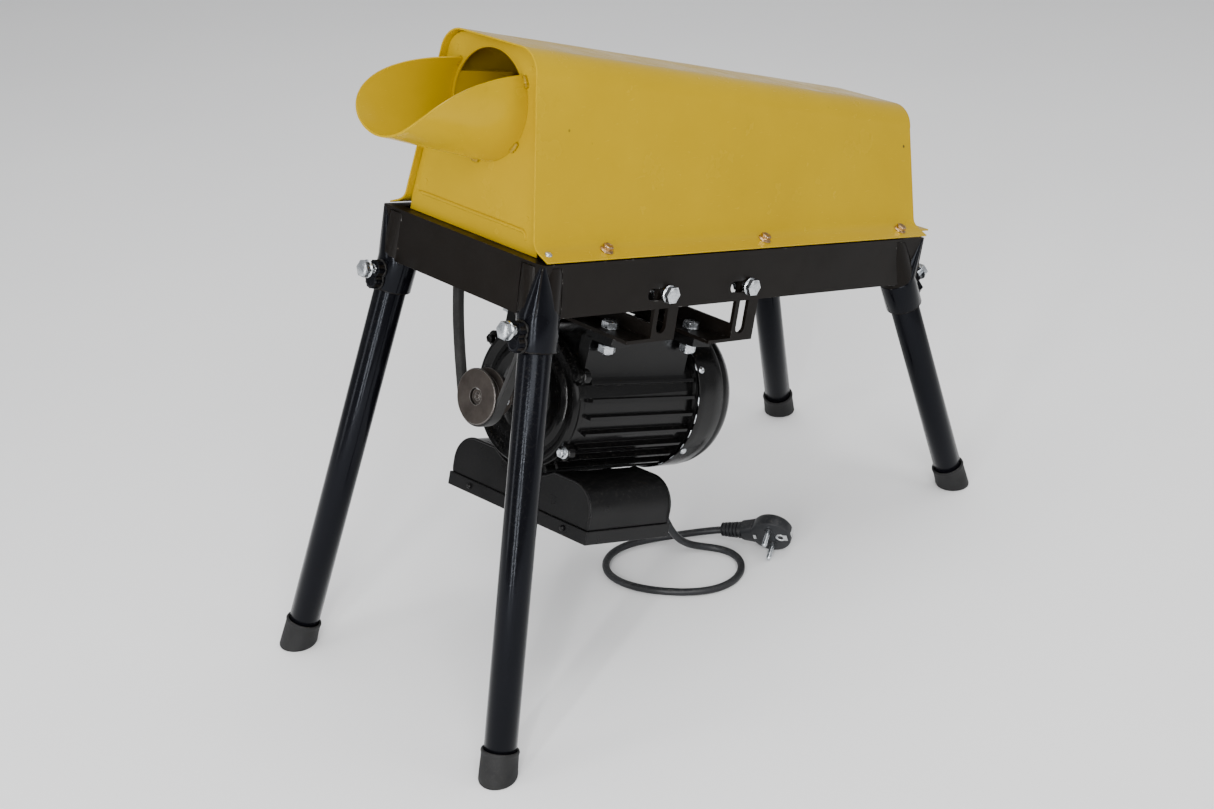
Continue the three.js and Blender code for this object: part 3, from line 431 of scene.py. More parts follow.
def circle(x, radius, count):
    return [polar(x, radius, 2 * math.pi * i / count) for i in range(count)]


def arc(x, radius, start, spread, steps):
    return [polar(x, radius, start + spread * i / steps) for i in range(steps + 1)]


def facing(direction):
    """The turn that points the X axis along a direction."""
    return Vector(direction).to_track_quat("X", "Z").to_matrix()


def along(start, direction):
    """A frame in millimetres whose X axis points along a direction."""
    return Matrix.Translation(start) @ facing(direction).to_4x4()


def revolve(bm, profile, segments=72, space=None):
    """A surface of revolution about X from (x, radius) pairs, which closes on itself off the axis."""
    start = len(bm.verts)
    rings = []
    for x, r in profile:
        points = circle(x, r, segments) if r else [Vector((x, 0, 0))]
        rings.append([bm.verts.new(p) for p in points])
    pairs = list(zip(rings, rings[1:]))
    if profile[0][1]:
        pairs.append((rings[-1], rings[0]))
    for a, b in pairs:
        for i in range(segments):
            j = (i + 1) % segments
            corners = [a[i % len(a)], a[j % len(a)], b[j % len(b)], b[i % len(b)]]
            face = list(dict.fromkeys(corners))
            if len(face) > 2:
                bm.faces.new(face)
    if space:
        bm.verts.ensure_lookup_table()
        bmesh.ops.transform(bm, matrix=space, verts=bm.verts[start:])
    return bm


def prism(bm, corners, low, high, space=None):
    """A flat outline of (y, z) corners extruded along X."""
    ends = [[bm.verts.new((x, y, z)) for y, z in corners] for x in (low, high)]
    bm.faces.new(ends[0])
    bm.faces.new(reversed(ends[1]))
    for i in range(len(corners)):
        j = (i + 1) % len(corners)
        bm.faces.new((ends[0][i], ends[0][j], ends[1][j], ends[1][i]))
    if space:
        bmesh.ops.transform(bm, matrix=space, verts=ends[0] + ends[1])
    return bm


def slab(bm, y_range, half_z, low, high):
    """A block between two places along X, between two along Y, and as wide up as down."""
    near, far = y_range
    return prism(bm, [(near, -half_z), (far, -half_z), (far, half_z), (near, half_z)], low, high)


def loft(bm, rings, closed=False):
    """Joins equal rings of points in turn, and caps the ends or runs back to the first."""
    rings = [[bm.verts.new(p) for p in ring] for ring in rings]
    count = len(rings[0])
    following = rings[1:] + rings[:1] if closed else rings[1:]
    for a, b in zip(rings, following):
        for i in range(count):
            j = (i + 1) % count
            bm.faces.new((a[i], a[j], b[j], b[i]))
    if not closed:
        bm.faces.new(reversed(rings[0]))
        bm.faces.new(rings[-1])
    return bm


def tube(points, radius, sides=10, ripple=0.0):
    """A round bead through a list of points, with thin ends. ripple is a weld bead's share of wave."""
    points = [Vector(p) for p in points]
    last = len(points) - 1
    rings = []
    for i, centre in enumerate(points):
        turn = facing(points[min(i + 1, last)] - points[max(i - 1, 0)])
        taper = min(1, 0.5 + 0.25 * min(i, last - i))
        wave = 1 + ripple * math.sin(2.4 * i) + ripple * noise.noise(centre * 0.9)
        rings.append([centre + turn @ p for p in circle(0, radius * taper * wave, sides)])
    return loft(bmesh.new(), rings)


def weld(name, points, radius, body, material, sides=10, ripple=0.2, space=TRAY):
    """A bead along a list of points."""
    make(name, tube(points, radius, sides, ripple), space, body, material, 0, 60)


def resample(points, step):
    """Points spaced evenly along a polyline."""
    points = [Vector(p) for p in points]
    out = [points[0]]
    for a, b in zip(points, points[1:]):
        count = max(1, round((b - a).length / step))
        out += [a.lerp(b, (i + 1) / count) for i in range(count)]
    return out


def surface_sheet(rows):
    """A grid of points as an open surface, for thicken to make solid."""
    bm = bmesh.new()
    grid = [[bm.verts.new(p) for p in row] for row in rows]
    for a, b in zip(grid, grid[1:]):
        for i in range(len(a) - 1):
            bm.faces.new((a[i], a[i + 1], b[i + 1], b[i]))
    return bm


def thicken(piece, thickness, bevel):
    """Gives an open surface its sheet thickness, inward, and rounds the cut edges."""
    solid = piece.modifiers.new("sheet", "SOLIDIFY")
    solid.thickness = thickness * MM
    solid.offset = -1
    round_edges(piece, bevel, 50)


def face_away(piece, space, middle):
    """Turns an open surface's faces so that they look away from a point inside it."""
    mesh = piece.data
    face = mesh.polygons[len(mesh.polygons) // 2]
    if face.normal.dot(face.center - space @ (Vector(middle) * MM)) < 0:
        mesh.flip_normals()


# ---- Fasteners ----


def hexagon(across_flats):
    corner = across_flats / math.sqrt(3)
    return [(corner * math.cos(math.pi / 3 * i), corner * math.sin(math.pi / 3 * i)) for i in range(6)]


def thread(low, high, radius, pitch=1.25):
    """A profile that steps in and out with the thread, from low to high, with a chamfered tip."""
    profile = [(low, 0), (low, radius)]
    for i in range(int((high - low) / pitch)):
        x = low + i * pitch
        profile += [(x + 0.1 * pitch, radius), (x + 0.5 * pitch, radius - 0.6), (x + 0.9 * pitch, radius)]
    return profile + [(high - 0.8, radius), (high, radius - 0.9), (high, 0)]


def bolt(name, start, direction, shank, body, node, nuts=()):
    """An M8 bolt whose head stands behind start and whose shank runs along direction, with nuts on it."""
    space = along(start, direction)
    head, collar = 5.3, 3.9
    bm = bmesh.new()
    prism(bm, hexagon(M8_FLATS), -head, -1.2, space)
    revolve(bm, [(-head - 0.45, 0), (-head - 0.45, 5.2), (-head, 6.1), (-head, 0)], 36, space)
    revolve(bm, [(-1.3, 0), (-1.3, 7.0), (-0.4, 7.6), (0, 7.6), (0, 0)], 36, space)
    plain = min(6, shank - 1)
    revolve(bm, [(-1, 0), (-1, collar), (plain, collar), (plain, 0)], 24, space)
    if shank > 8:
        revolve(bm, thread(5, shank, M8_RADIUS), 24, space)
    for nut in nuts:
        top = nut + M8_NUT
        prism(bm, hexagon(M8_FLATS), nut, top, space)
        revolve(bm, [(top, 0), (top, 6.1), (top + 0.4, 5.3), (top + 0.4, 0)], 36, space)
    make(name, bm, TRAY, body, "zinc", 0.3, 30, node)


def flange_screw(name, space, start, direction, body, material, size, flange):
    """A self-drilling screw: hexagon head on a dished flange."""
    place = along(start, direction)
    half = flange / 2
    bm = bmesh.new()
    revolve(bm, [(-0.3, 0), (-0.3, half), (0.5, half), (1.5, half - 1.4), (1.5, 0)], 40, place)
    prism(bm, hexagon(size), 1.2, 4.6, place)
    crown = [(4.6, 0), (4.6, size * 0.46), (5.0, size * 0.38), (4.7, size * 0.2), (4.7, 0)]
    revolve(bm, crown, 30, place)
    make(name, bm, space, body, material, 0.25, 30)


def pan_screw(name, space, start, direction, radius, material):
    """A pan-head screw with a round recess, on a piece that the motor carries."""
    dome = [(0, 0), (0, radius), (0.9, radius), (1.9, radius * 0.8)]
    recess = [(2.5, radius * 0.42), (2.2, radius * 0.3), (1.2, 0)]
    bm = revolve(bmesh.new(), dome + recess, 32, along(start, direction))
    make(name, bm, space, "motor_carriage", material, 0.12, 40)


# ---- Hood, end plates, scoop and trough ----

HOOD_TOPS = (198.3, 156)
HOOD_SHOULDERS = (57.6, 55.9)
HOOD_CORNER = 22
HOOD_FLANGE = [
    (97.5, 45.7), (95, 46.6), (91.5, 48.0), (88, 49.4), (85, 50.9), (82.5, 52.6), (80.6, 54.7), (79.4, 57.5),
]
HOOD_SCREWS = (-164.5, 23.9, 213.5)
SCOOP_ROOT = HOOD_FRONT + 5.7
SCOOP_RADIUS, SCOOP_REACH, SCOOP_RISE, SCOOP_HALF_TURN = 46, 104, 0.19, 127


def hood_outline(x):
    """The hood's outside at a place along X, as (y, z) from the near flange over the top to the far one."""
    t = (x - HOOD_FRONT) / (HOOD_BACK - HOOD_FRONT)
    top = HOOD_TOPS[0] + (HOOD_TOPS[1] - HOOD_TOPS[0]) * t
    shoulder = HOOD_SHOULDERS[0] + (HOOD_SHOULDERS[1] - HOOD_SHOULDERS[0]) * t
    corner = []
    for i in range(15):
        p = polar(0, HOOD_CORNER, math.radians(5 + 85 * i / 14))
        corner.append((shoulder - HOOD_CORNER + p.y, top - HOOD_CORNER + p.z))
    side = [tuple(Vector(HOOD_FLANGE[-1]).lerp(Vector(corner[0]), k / 6)) for k in range(1, 6)]
    crown = [(corner[-1][0] * k, corner[-1][1]) for k in (0.66, 0.33, 0)]
    half = HOOD_FLANGE + side + corner + crown
    return [(-y, z) for y, z in half] + half[-2::-1]


def build_hood():
    """The folded sheet, pressed in a little by handling away from its edges and folds."""
    rows = []
    count = 40
    for i in range(count + 1):
        x = HOOD_FRONT + (HOOD_BACK - HOOD_FRONT) * i / count
        row = []
        for y, z in hood_outline(x):
            dent = min(0, noise.noise(Vector((x * 0.011, y * 0.016, z * 0.016))) * 0.5)
            calm = min(1, max(0, (z - 62) / 25)) * min(1, (count - i) / 3, i / 3)
            row.append(Vector((x, y, z)) + Vector((0, y, z - 90)).normalized() * dent * calm)
        rows.append(row)
    hood = make("hood", surface_sheet(rows), TRAY, "frame", "yellow_paint", 0, 70, "hood_shell")
    thicken(hood, SHEET, 0.45)
    for name, side in SIDES:
        build_hood_fasteners(name, side)


def build_hood_fasteners(name, side):
    """Three screws through a flange, and a rivet by the inlet corner."""
    tilt = math.radians(22)
    out = Vector((0, side * math.sin(tilt), math.cos(tilt)))
    for i, x in enumerate(HOOD_SCREWS):
        place = (x, side * 88, 49.6)
        flange_screw(f"hood_screw_{name}_{i}", TRAY, place, out, "frame", "yellow_zinc", 8, 11.5)
    profile = [(-0.2, 0), (-0.2, 3.2), (0.5, 3.1), (1.1, 2.2), (1.3, 0.8), (0.9, 0)]
    rivet = revolve(bmesh.new(), profile, 28, along((-227, side * 88.5, 49.5), (0, side * 0.37, 0.93)))
    make(f"hood_rivet_{name}", rivet, TRAY, "frame", "zinc", 0, 50)


def build_spot_welds(end, places, x, direction, profile):
    """The shallow dimples that spot welding leaves on a plate."""
    for i, (y, z) in enumerate(places):
        spot = revolve(bmesh.new(), profile, 24, along((x, y, z), direction))
        make(f"{end}_spot_weld_{i}", spot, TRAY, "frame", "yellow_paint", 0, 60)


def build_end_plates():
    refine("hood_inlet_plate", TRAY, "yellow_paint", 0.4)
    refine("hood_outlet_plate", TRAY, "yellow_paint", 0.4)
    x = INLET_PLATE_FACE - 0.1
    rib = [(x, 70, 60.5), (x, -59, 60.5), (x, -62, 58.5), (x, -63.5, 54)]
    weld("inlet_plate_rib", resample(rib, 4), 1.5, "frame", "yellow_paint", 12, 0)
    front, back = INLET_PLATE_FACE - 0.15, INLET_PLATE_FACE + SHEET + 0.15
    section = [(front, 41.6), (front, 42.9), (back, 42.9), (back, 41.6)]
    lip = revolve(bmesh.new(), section, 128, Matrix.Translation((0, 0, FEED_HOLE_Z)))
    make("feed_hole_lip", lip, TRAY, "frame", "yellow_paint", 0.3, 60)
    outlet = [(side * y, z) for y, z in ((66, 68), (60, 88), (50, 128)) for side in (-1, 1)]
    dimple = [(-0.2, 0), (-0.2, 2.8), (0.35, 2.4), (0.2, 1.2), (0.1, 0)]
    build_spot_welds("outlet", outlet, 237.5, (1, 0, 0), dimple)
    inlet = [(side * y, z) for y, z in ((62, 70), (44, 182)) for side in (-1, 1)]
    dimple = [(-0.2, 0), (-0.2, 2.6), (0.3, 2.3), (0.15, 1.2), (0.1, 0)]
    build_spot_welds("inlet", inlet, INLET_PLATE_FACE, (-1, 0, 0), dimple)


def scoop_point(out, radius, angle):
    """A point at a distance out of the inlet plate and an angle round from the scoop's lowest line."""
    z = FEED_HOLE_Z - radius * math.cos(angle) + SCOOP_RISE * out
    return Vector((SCOOP_ROOT - out, radius * math.sin(angle), z))


def build_scoop():
    """A sheet rolled round the feed hole and cut to a long lip, which rises as it leaves the hood."""
    rows = []
    steps = 18
    for i in range(81):
        degrees = SCOOP_HALF_TURN * (i / 40 - 1)
        reach = SCOOP_REACH * (1 - (abs(degrees) / (SCOOP_HALF_TURN + 1)) ** 3.4)
        row = []
        for k in range(steps + 1):
            out = reach * k / steps
            dent = max(0, 0.25 * noise.noise(Vector((out * 0.05, degrees * 0.03, 4))))
            row.append(scoop_point(out, SCOOP_RADIUS - dent, math.radians(degrees)))
        rows.append(row)
    scoop = make("scoop", surface_sheet(rows), TRAY, "frame", "yellow_paint", 0, 70, "feed_scoop")
    face_away(scoop, TRAY, (-280, 0, FEED_HOLE_Z))
    thicken(scoop, SHEET, 0.5)
    build_scoop_welds()


def build_scoop_welds():
    """Short beads where the scoop meets the inlet plate."""
    for i, (y, z) in enumerate(((-43.5, 173.5), (-30, 126), (6, 102.8), (30, 126), (43.5, 173.5))):
        middle = math.atan2(y, FEED_HOLE_Z - z)
        toe = Vector((-0.6, 0, 0))
        points = [scoop_point(0, SCOOP_RADIUS + 0.6, middle + k * 0.022) + toe for k in range(-5, 6)]
        weld(f"scoop_weld_{i}", points, 2.3, "frame", "yellow_weld", 12, 0.18)


def build_trough():
    refine("feed_trough", TRAY, "yellow_paint", 0.3)


# ---- Tray, sockets, legs and feet ----

LEGS = [("inlet_near", -1, -1), ("inlet_far", -1, 1), ("outlet_near", 1, -1), ("outlet_far", 1, 1)]
SPLAY = {-1: (0.056, 0.137), 1: (0.57, 0.137)}
LEG_X, LEG_Y = 227, 87
TRAY_HALF_LENGTH, TRAY_HALF_WIDTH = 239, 97
SOCKET_RADIUS, SOCKET_LENGTH, SOCKET_BORE = 16.85, 27, 13.9
SOCKET_NUTS = (10.3, 20.3)
LEG_RADIUS, LEG_BORE = 13.45, 11.2


def leg_line(end, side):
    """The leg's corner point and the way it runs down, in the tray's frame."""
    x, y = SPLAY[end]
    return Vector((end * LEG_X, side * LEG_Y, 0)), Vector((end * x, side * y, -1)).normalized()


def bolt_side(end, down):
    """The way out to the clamp bolt: along X, but square to the leg."""
    out = Vector((end, 0, 0))
    return (out - down * down.dot(out)).normalized()


def build_socket(name, end, side):
    """A pipe socket that swells out of the tray's corner, with two nuts welded to it."""
    corner, down = leg_line(end, side)
    apex, mouth = Vector((end * 237.8, side * 95.8, 42)), corner - down * 1.5
    apex_radius, mouth_radius = 2.4, 17.1
    stations = []
    for k in range(19):
        ease = (k / 18) ** 0.9
        stations.append((apex.lerp(mouth, ease), apex_radius + (mouth_radius - apex_radius) * ease))
    barrel = [
        (2, 16.95), (SOCKET_LENGTH - 1, SOCKET_RADIUS), (SOCKET_LENGTH - 0.3, 16.5), (SOCKET_LENGTH, 15.9),
        (SOCKET_LENGTH, SOCKET_BORE), (SOCKET_LENGTH - 7, SOCKET_BORE),
    ]
    stations += [(corner + down * x, r) for x, r in barrel]
    turn = facing(down)
    bm = loft(bmesh.new(), [[centre + turn @ p for p in circle(0, r, 64)] for centre, r in stations])
    for distance in SOCKET_NUTS:
        nut = along(corner + down * distance, bolt_side(end, down))
        prism(bm, hexagon(13.3), 15.5, 23.5, nut)
        revolve(bm, [(23.4, 0), (23.4, 6.2), (23.8, 5.4), (23.8, 4.1), (23.3, 4.0), (23.3, 0)], 32, nut)
    make(f"socket_{name}", bm, TRAY, "frame", "leg_paint", 0.3, 32)


def build_socket_welds(name, end, side):
    """A bead where the socket leaves the tray, and one round the foot of each nut."""
    corner, down = leg_line(end, side)
    turn = facing(down)
    seam = []
    for p in arc(0, 17.2, 0, 2 * math.pi, 56):
        p = corner + turn @ p
        seam.append(p - down * (p.z / down.z) + Vector((0, 0, -0.5)))
    seam = [p for p in seam if abs(p.x) < TRAY_HALF_LENGTH and abs(p.y) < TRAY_HALF_WIDTH]
    weld(f"socket_weld_{name}", seam, 1.6, "frame", "black_weld")
    outward = bolt_side(end, down)
    turn = facing(outward)
    for k, distance in enumerate(SOCKET_NUTS):
        centre = corner + down * distance + outward * 17.6
        ring = []
        for p in arc(0, 1, 0, 2 * math.pi, 28):
            ring.append(centre + turn @ Vector((-1.2 * abs(p.y), 7.3 * p.y, 6.9 * p.z)))
        weld(f"nut_weld_{name}_{k}", ring, 1.3, "frame", "black_weld", 8, 0.25)


def build_tray():
    refine("tray_frame", TRAY, "black_paint", 0.6)
    for name, end, side in LEGS:
        refine(f"leg_socket_{name}", TRAY, "black_paint", 0.5)
        build_socket(name, end, side)
        build_socket_welds(name, end, side)
        corner, down = leg_line(end, side)
        outward = bolt_side(end, down)
        start = corner + down * SOCKET_NUTS[0] + outward * (SOCKET_RADIUS + 13.5)
        bolt(f"clamp_bolt_{name}", start, -outward, 15.5, "frame", f"leg_clamp_bolt_{name}")


def build_legs():
    """Each pipe runs from inside its socket down to the floor, in a rubber cap."""
    to_floor = FLOOR.inverted() @ TRAY
    for name, end, side in LEGS:
        corner, down = leg_line(end, side)
        top = (to_floor @ ((corner - down * 22) * MM)) / MM
        lower = (to_floor @ ((corner + down * SOCKET_LENGTH) * MM)) / MM
        down = (lower - top).normalized()
        foot = top - down * (top.z / down.z)
        length = (top - foot).length
        space = FLOOR @ Matrix.Translation(foot * MM) @ facing(-down).to_4x4()
        edge = LEG_RADIUS - 0.35
        profile = [
            (8, LEG_BORE), (8, edge), (8.5, LEG_RADIUS), (length - 0.5, LEG_RADIUS), (length, edge),
            (length, LEG_BORE),
        ]
        pipe = revolve(bmesh.new(), profile, 96)
        make(f"leg_{name}", pipe, space, "frame", "leg_paint", 0, 40, f"leg_pipe_{name}")
        build_cap(name, space)


def build_cap(name, space):
    """A rubber cap with a rolled lip, and a sole that is level with the floor."""
    sides = [
        (24, 13.75), (24.4, 14.6), (24, 15.5), (22.6, 15.9), (21.4, 15.5), (20, 15.35), (14, 15.5), (7, 15.7),
        (2, 15.8),
    ]
    sole = ((15.9, 1.6), (15.5, 0.35), (14.6, 0.02), (9, 0.02))
    count = 72
    turn = space.to_3x3()
    floor_x = (turn @ Vector((1, 0, 0))).z
    low = []
    for r, lift in sole:
        ring = circle(0, r, count)
        for p in ring:
            p.x = (lift - space.translation.z / MM - (turn @ p).z) / floor_x
        low.append(ring)
    rings = [circle(x, r, count) for x, r in sides]
    for ring in rings:
        for p, edge in zip(ring, low[0]):
            p.x = max(p.x, edge.x + 0.3 + 0.1 * (p.x + 20))
    rings += low
    bm = bmesh.new()
    loops = [[bm.verts.new(p) for p in ring] for ring in rings]
    for a, b in zip(loops, loops[1:]):
        for i in range(count):
            j = (i + 1) % count
            bm.faces.new((a[i], a[j], b[j], b[i]))
    bm.faces.new(loops[-1])
    make(f"cap_{name}", bm, space, "frame", "cap_rubber", 0, 45, f"foot_cap_{name}")


# ---- Drum, bearings, pulleys and belt ----

MOTOR_BELT_RADIUS, DRUM_BELT_RADIUS = 25.3, 54.5
BELT_LEAN = 13
BELT_BOW = 6
BELT_SECTION = [
    (-6, -2.8), (-5.6, -3.15), (-0.5, -4.85), (0, -4.5), (0.05, 0), (0, 4.5), (-0.5, 4.85), (-5.6, 3.15),
    (-6, 2.8),
]


def build_drum():
    refine("threshing_drum", DRUM, "cast_iron", 0.4)
    refine("drum_shaft", DRUM, "bright_steel", 0.4)
    refine("concave_grate", DRUM, "bright_steel", 0)
    for end in ("inlet", "outlet"):
        refine(f"{end}_bearing_plate", TRAY, "black_paint", 0.4)
        refine(f"{end}_bearing_housing", DRUM, "cast_iron", 0.5)
        refine(f"{end}_bearing", DRUM, "bright_steel", 0.2)


def pulley_profile(width, rim, bore, hub, hub_length):
    """A V-groove pulley's section with broken edges and a recessed web."""
    plane, belt = BELT_PLANE, MOTOR_BELT_RADIUS
    low, high = plane - width / 2, plane + width / 2
    bottom = belt - 7.5
    half = 3.45
    lip = half + (rim - (belt - 6)) * 2 / 6
    end = high + hub_length
    return [
        (low, bore), (low, bore + 0.5), (low, rim - 0.6), (low + 0.6, rim), (plane - lip - 0.2, rim),
        (plane - lip, rim - 0.3), (plane - half + 0.3, bottom), (plane + half - 0.3, bottom),
        (plane + lip, rim - 0.3), (plane + lip + 0.2, rim), (high - 0.6, rim), (high, rim - 0.6),
        (high, hub + 0.6), (high + 0.5, hub), (end - 0.8, hub), (end, hub - 0.8), (end, bore),
    ]


def build_pulleys():
    """The motor's pulley on its keyed shaft, with a grub screw, and the drum's pulley."""
    pulley = revolve(bmesh.new(), pulley_profile(14, 23.5, 7.1, 17, 12), 128)
    make("motor_pulley_piece", pulley, MOTOR, "rotor", "turned_steel", 0, 28, "motor_pulley")
    profile = [
        (1.6, 0), (1.6, 2.2), (2.6, 3.2), (2.0, 3.4), (2.0, 6.2), (2.8, 7.0), (26, 7.0), (26.4, 8), (236, 8),
        (236, 0),
    ]
    shaft = revolve(bmesh.new(), profile, 64)
    make("motor_shaft_piece", shaft, MOTOR, "rotor", "turned_steel", 0, 28, "motor_shaft")
    key = prism(bmesh.new(), [(-2, 6.0), (2, 6.0), (2, 8.6), (-2, 8.6)], 1.0, 25.5)
    make("pulley_key", key, MOTOR, "rotor", "bright_steel", 0.2)
    profile = [(12, 0), (12, 2.6), (17.4, 2.6), (17.4, 1.4), (15.5, 1.3), (15.5, 0)]
    grub = revolve(bmesh.new(), profile, 24, along((20, 0, 0), (0, -1, 0)))
    make("pulley_grub_screw", grub, MOTOR, "rotor", "zinc", 0.1)
    refine("drum_pulley", DRUM, "cast_iron", 0.4)


def belt_wrap(centre, radius, start, end, steps, tilt):
    """Stations round a pulley, each a point, the way out from the pulley and the way across the belt."""
    stations = []
    for i in range(steps + 1):
        out = tilt @ polar(0, 1, math.radians(start + (end - start) * i / steps))
        stations.append((centre + out * radius, out, tilt @ Vector((1, 0, 0))))
    return stations


def belt_span(start, end, side):
    """Stations between the pulleys, where the belt bows out a little."""
    stations = []
    for i in range(1, 24):
        t = i / 24
        centre, out, across = (a.lerp(b, t) for a, b in zip(start, end))
        bow = Vector((0, side * BELT_BOW * math.sin(math.pi * t), 0))
        stations.append((centre + bow, out.normalized(), across.normalized()))
    return stations


def build_belt():
    """A wrapped V-belt on the line of the CAD belt, with rounded edges."""
    tilt = rotated(MOTOR_TILT, "Y", 3)
    low_centre = Vector((MOTOR_X, 0, MOTOR_Z)) + tilt @ Vector((BELT_PLANE, 0, 0))
    high_centre = Vector((MOTOR_X + BELT_PLANE, 0, DRUM_AXIS_Z))
    high = belt_wrap(high_centre, DRUM_BELT_RADIUS, -BELT_LEAN, 180 + BELT_LEAN, 60, Matrix.Identity(3))
    low = belt_wrap(low_centre, MOTOR_BELT_RADIUS, 180 + BELT_LEAN, 360 - BELT_LEAN, 40, tilt)
    stations = high + belt_span(high[-1], low[0], -1) + low + belt_span(low[-1], high[0], 1)
    rings = [[centre + out * r + across * w for r, w in BELT_SECTION] for centre, out, across in stations]
    make("belt", loft(bmesh.new(), rings, True), TRAY, "frame", "belt_rubber", 0, 50, "v_belt")


# ---- Motor ----

EARS = [math.radians(a) for a in (31, 149, 211, 329)]
EAR_RADIUS = 64
COVER_SCREWS = [math.radians(a) for a in (33, 147, 213, 327)]
COVER_FRONT, COVER_BACK = 200.3, 248.6
# Each bracket's strap along X, its underside, and its slot bolts and foot bolts along X.
BRACKETS = {"front": (-106, -28.9, -96.5, -118), "rear": (-7, -36.9, 2.5, -19)}


def build_motor():
    refine("motor_body", MOTOR, "motor_paint", 0.7)
    refine("motor_stator", MOTOR, "winding", 0)
    refine("motor_rotor", MOTOR, "aluminium", 0)
    refine("cooling_fan", MOTOR, "fan_plastic", 0.3)
    build_drive_shield()
    build_tie_bolts()
    profile = [(199.3, 8.5), (199.3, 64.6), (200, 66.2), (206.3, 66.2), (206.3, 8.5)]
    rear = revolve(bmesh.new(), profile, 96)
    make("rear_end_shield_piece", rear, MOTOR, "motor_carriage", "motor_paint", 0, 30, "rear_end_shield")
    build_fan_cover()
    # Painted highlights: bright zinc strips that stand in for light glinting off the cover's front edge.
    build_painted_cover_glints()
    for i, a in enumerate(COVER_SCREWS):
        pan_screw(f"cover_screw_{i}", MOTOR, polar(205, 68.3, a), polar(0, 1, a), 3.2, "zinc")


def build_drive_shield():
    """The cast shield: a bearing boss, two stepped rings and four ears for the tie bolts."""
    boss = [(50, 8.5), (49.8, 11), (50, 19.2), (50.8, 20), (52.6, 23.2), (53.4, 24), (59.4, 25), (60.2, 26)]
    groove = [(60.2, 34.6), (59.4, 36), (56.8, 39), (56, 40.2), (56, 43.4), (56.8, 44.4)]
    ring = [(58.6, 46.4), (59.2, 47.4), (59.2, 51), (58.4, 52), (55.6, 54.4), (54.6, 55.6)]
    rim = [(54.6, 58), (55.4, 59.2), (58, 60.2), (60.5, 60.4), (61.2, 61.4), (65.7, 61.5), (65.7, 8.5)]
    shield = revolve(bmesh.new(), boss + groove + ring + rim, 128)
    ear = [(58.8, 0), (58.8, 6.2), (59.5, 7), (65.7, 7), (65.7, 0)]
    for a in EARS:
        revolve(shield, ear, 32, Matrix.Translation(polar(0, EAR_RADIUS, a)))
    make("drive_end_shield_piece", shield, MOTOR, "motor_carriage", "motor_paint", 0, 30, "drive_end_shield")


def build_tie_bolts():
    """The upper two were painted over with the motor."""
    for i, a in enumerate(EARS):
        material = "zinc" if math.sin(a) < 0 else "motor_paint"
        place = polar(58.8, EAR_RADIUS, a)
        flange_screw(f"tie_bolt_{i}", MOTOR, place, (-1, 0, 0), "motor_carriage", material, 7, 10.5)


def build_painted_cover_glints():
    """Painted highlights: short bright zinc strips round the cover's front edge that stand in for light
    glinting off it, with four gaps.
    """
    for i in range(28):
        if i % 7 == 5:
            continue
        start = 2 * math.pi * i / 28 + 0.03 * noise.noise(Vector((i, 0, 0)))
        spread = 0.11 + 0.05 * noise.noise(Vector((0, i, 0.5)))
        points = arc(COVER_FRONT - 0.4, 67.9, start, spread, 6)
        weld(f"painted_cover_glint_{i}", points, 0.6, "motor_carriage", "zinc", 8, 0, MOTOR)


def build_fan_cover():
    """A pressed cover: rolled rim, a bead line, a rounded rear edge and radial vents."""
    wall = [(COVER_FRONT, 68.5), (201, 68.7), (209, 68.6), (220, 68.4), (231, 68.2)]
    bead = [(232, 67.7), (233.4, 67.3), (234.4, 67.7)]
    corner = [(238.5, 67.2), (242.6, 65.8), (245.6, 63.8), (247.5, 60.6), (248.4, 56)]
    back = [(COVER_BACK, r) for r in (51, 44, 37, 30, 24, 18, 9)]
    profile = wall + bead + corner + back
    segments = 96
    bm = bmesh.new()
    rings = [[bm.verts.new(p) for p in circle(x, r, segments)] for x, r in profile]
    centre = bm.verts.new((COVER_BACK, 0, 0))
    for (x, r), a, b in zip(profile, rings, rings[1:]):
        for i in range(segments):
            inside_slot = i % 12 in (0, 11) and 25 < r < 52
            if not inside_slot:
                j = (i + 1) % segments
                bm.faces.new((a[i], a[j], b[j], b[i]))
    for i in range(segments):
        bm.faces.new((rings[-1][i], rings[-1][(i + 1) % segments], centre))
    cover = make("fan_cover_piece", bm, MOTOR, "motor_carriage", "motor_paint", 0, 40, "fan_cover")
    face_away(cover, MOTOR, (COVER_FRONT, 0, 0))
    thicken(cover, 1.3, 0.3)


def build_brackets():
    """Two brackets, each with two bolts in the tray's slots, two in the motor's feet, and two welds."""
    for name, (strap, low, slot_bolt, foot) in BRACKETS.items():
        refine(f"motor_bracket_{name}", TRAY, "black_paint", 0.5)
        for side_name, side in SIDES:
            mount, foot_bolt = f"mount_bolt_{name}_{side_name}", f"foot_bolt_{name}_{side_name}"
            start = (slot_bolt, side * 99.2, 12.5)
            bolt(f"{mount}_piece", start, (0, -side, 0), 23.0, "frame", mount, (7.9,))
            start = (foot, side * 60, low + 3.3)
            bolt(f"{foot_bolt}_piece", start, (0, 0, -1), 23.5, "motor_carriage", foot_bolt, (14.9,))
            line = [(strap + 3.4, side * 90.6, low + 15), (strap + 3.4, side * 90.6, low + 3)]
            bead = f"bracket_weld_{name}_{side_name}"
            weld(bead, resample(line, 1.1), 1.2, "motor_carriage", "black_weld", 8, 0.25)


# ---- Capacitor box ----

BOX_HALF_WIDTH, BOX_TOP, BOX_BOTTOM, BOX_CORNER, BOX_SADDLE = 86.5, -58, -93, 24, 69.4


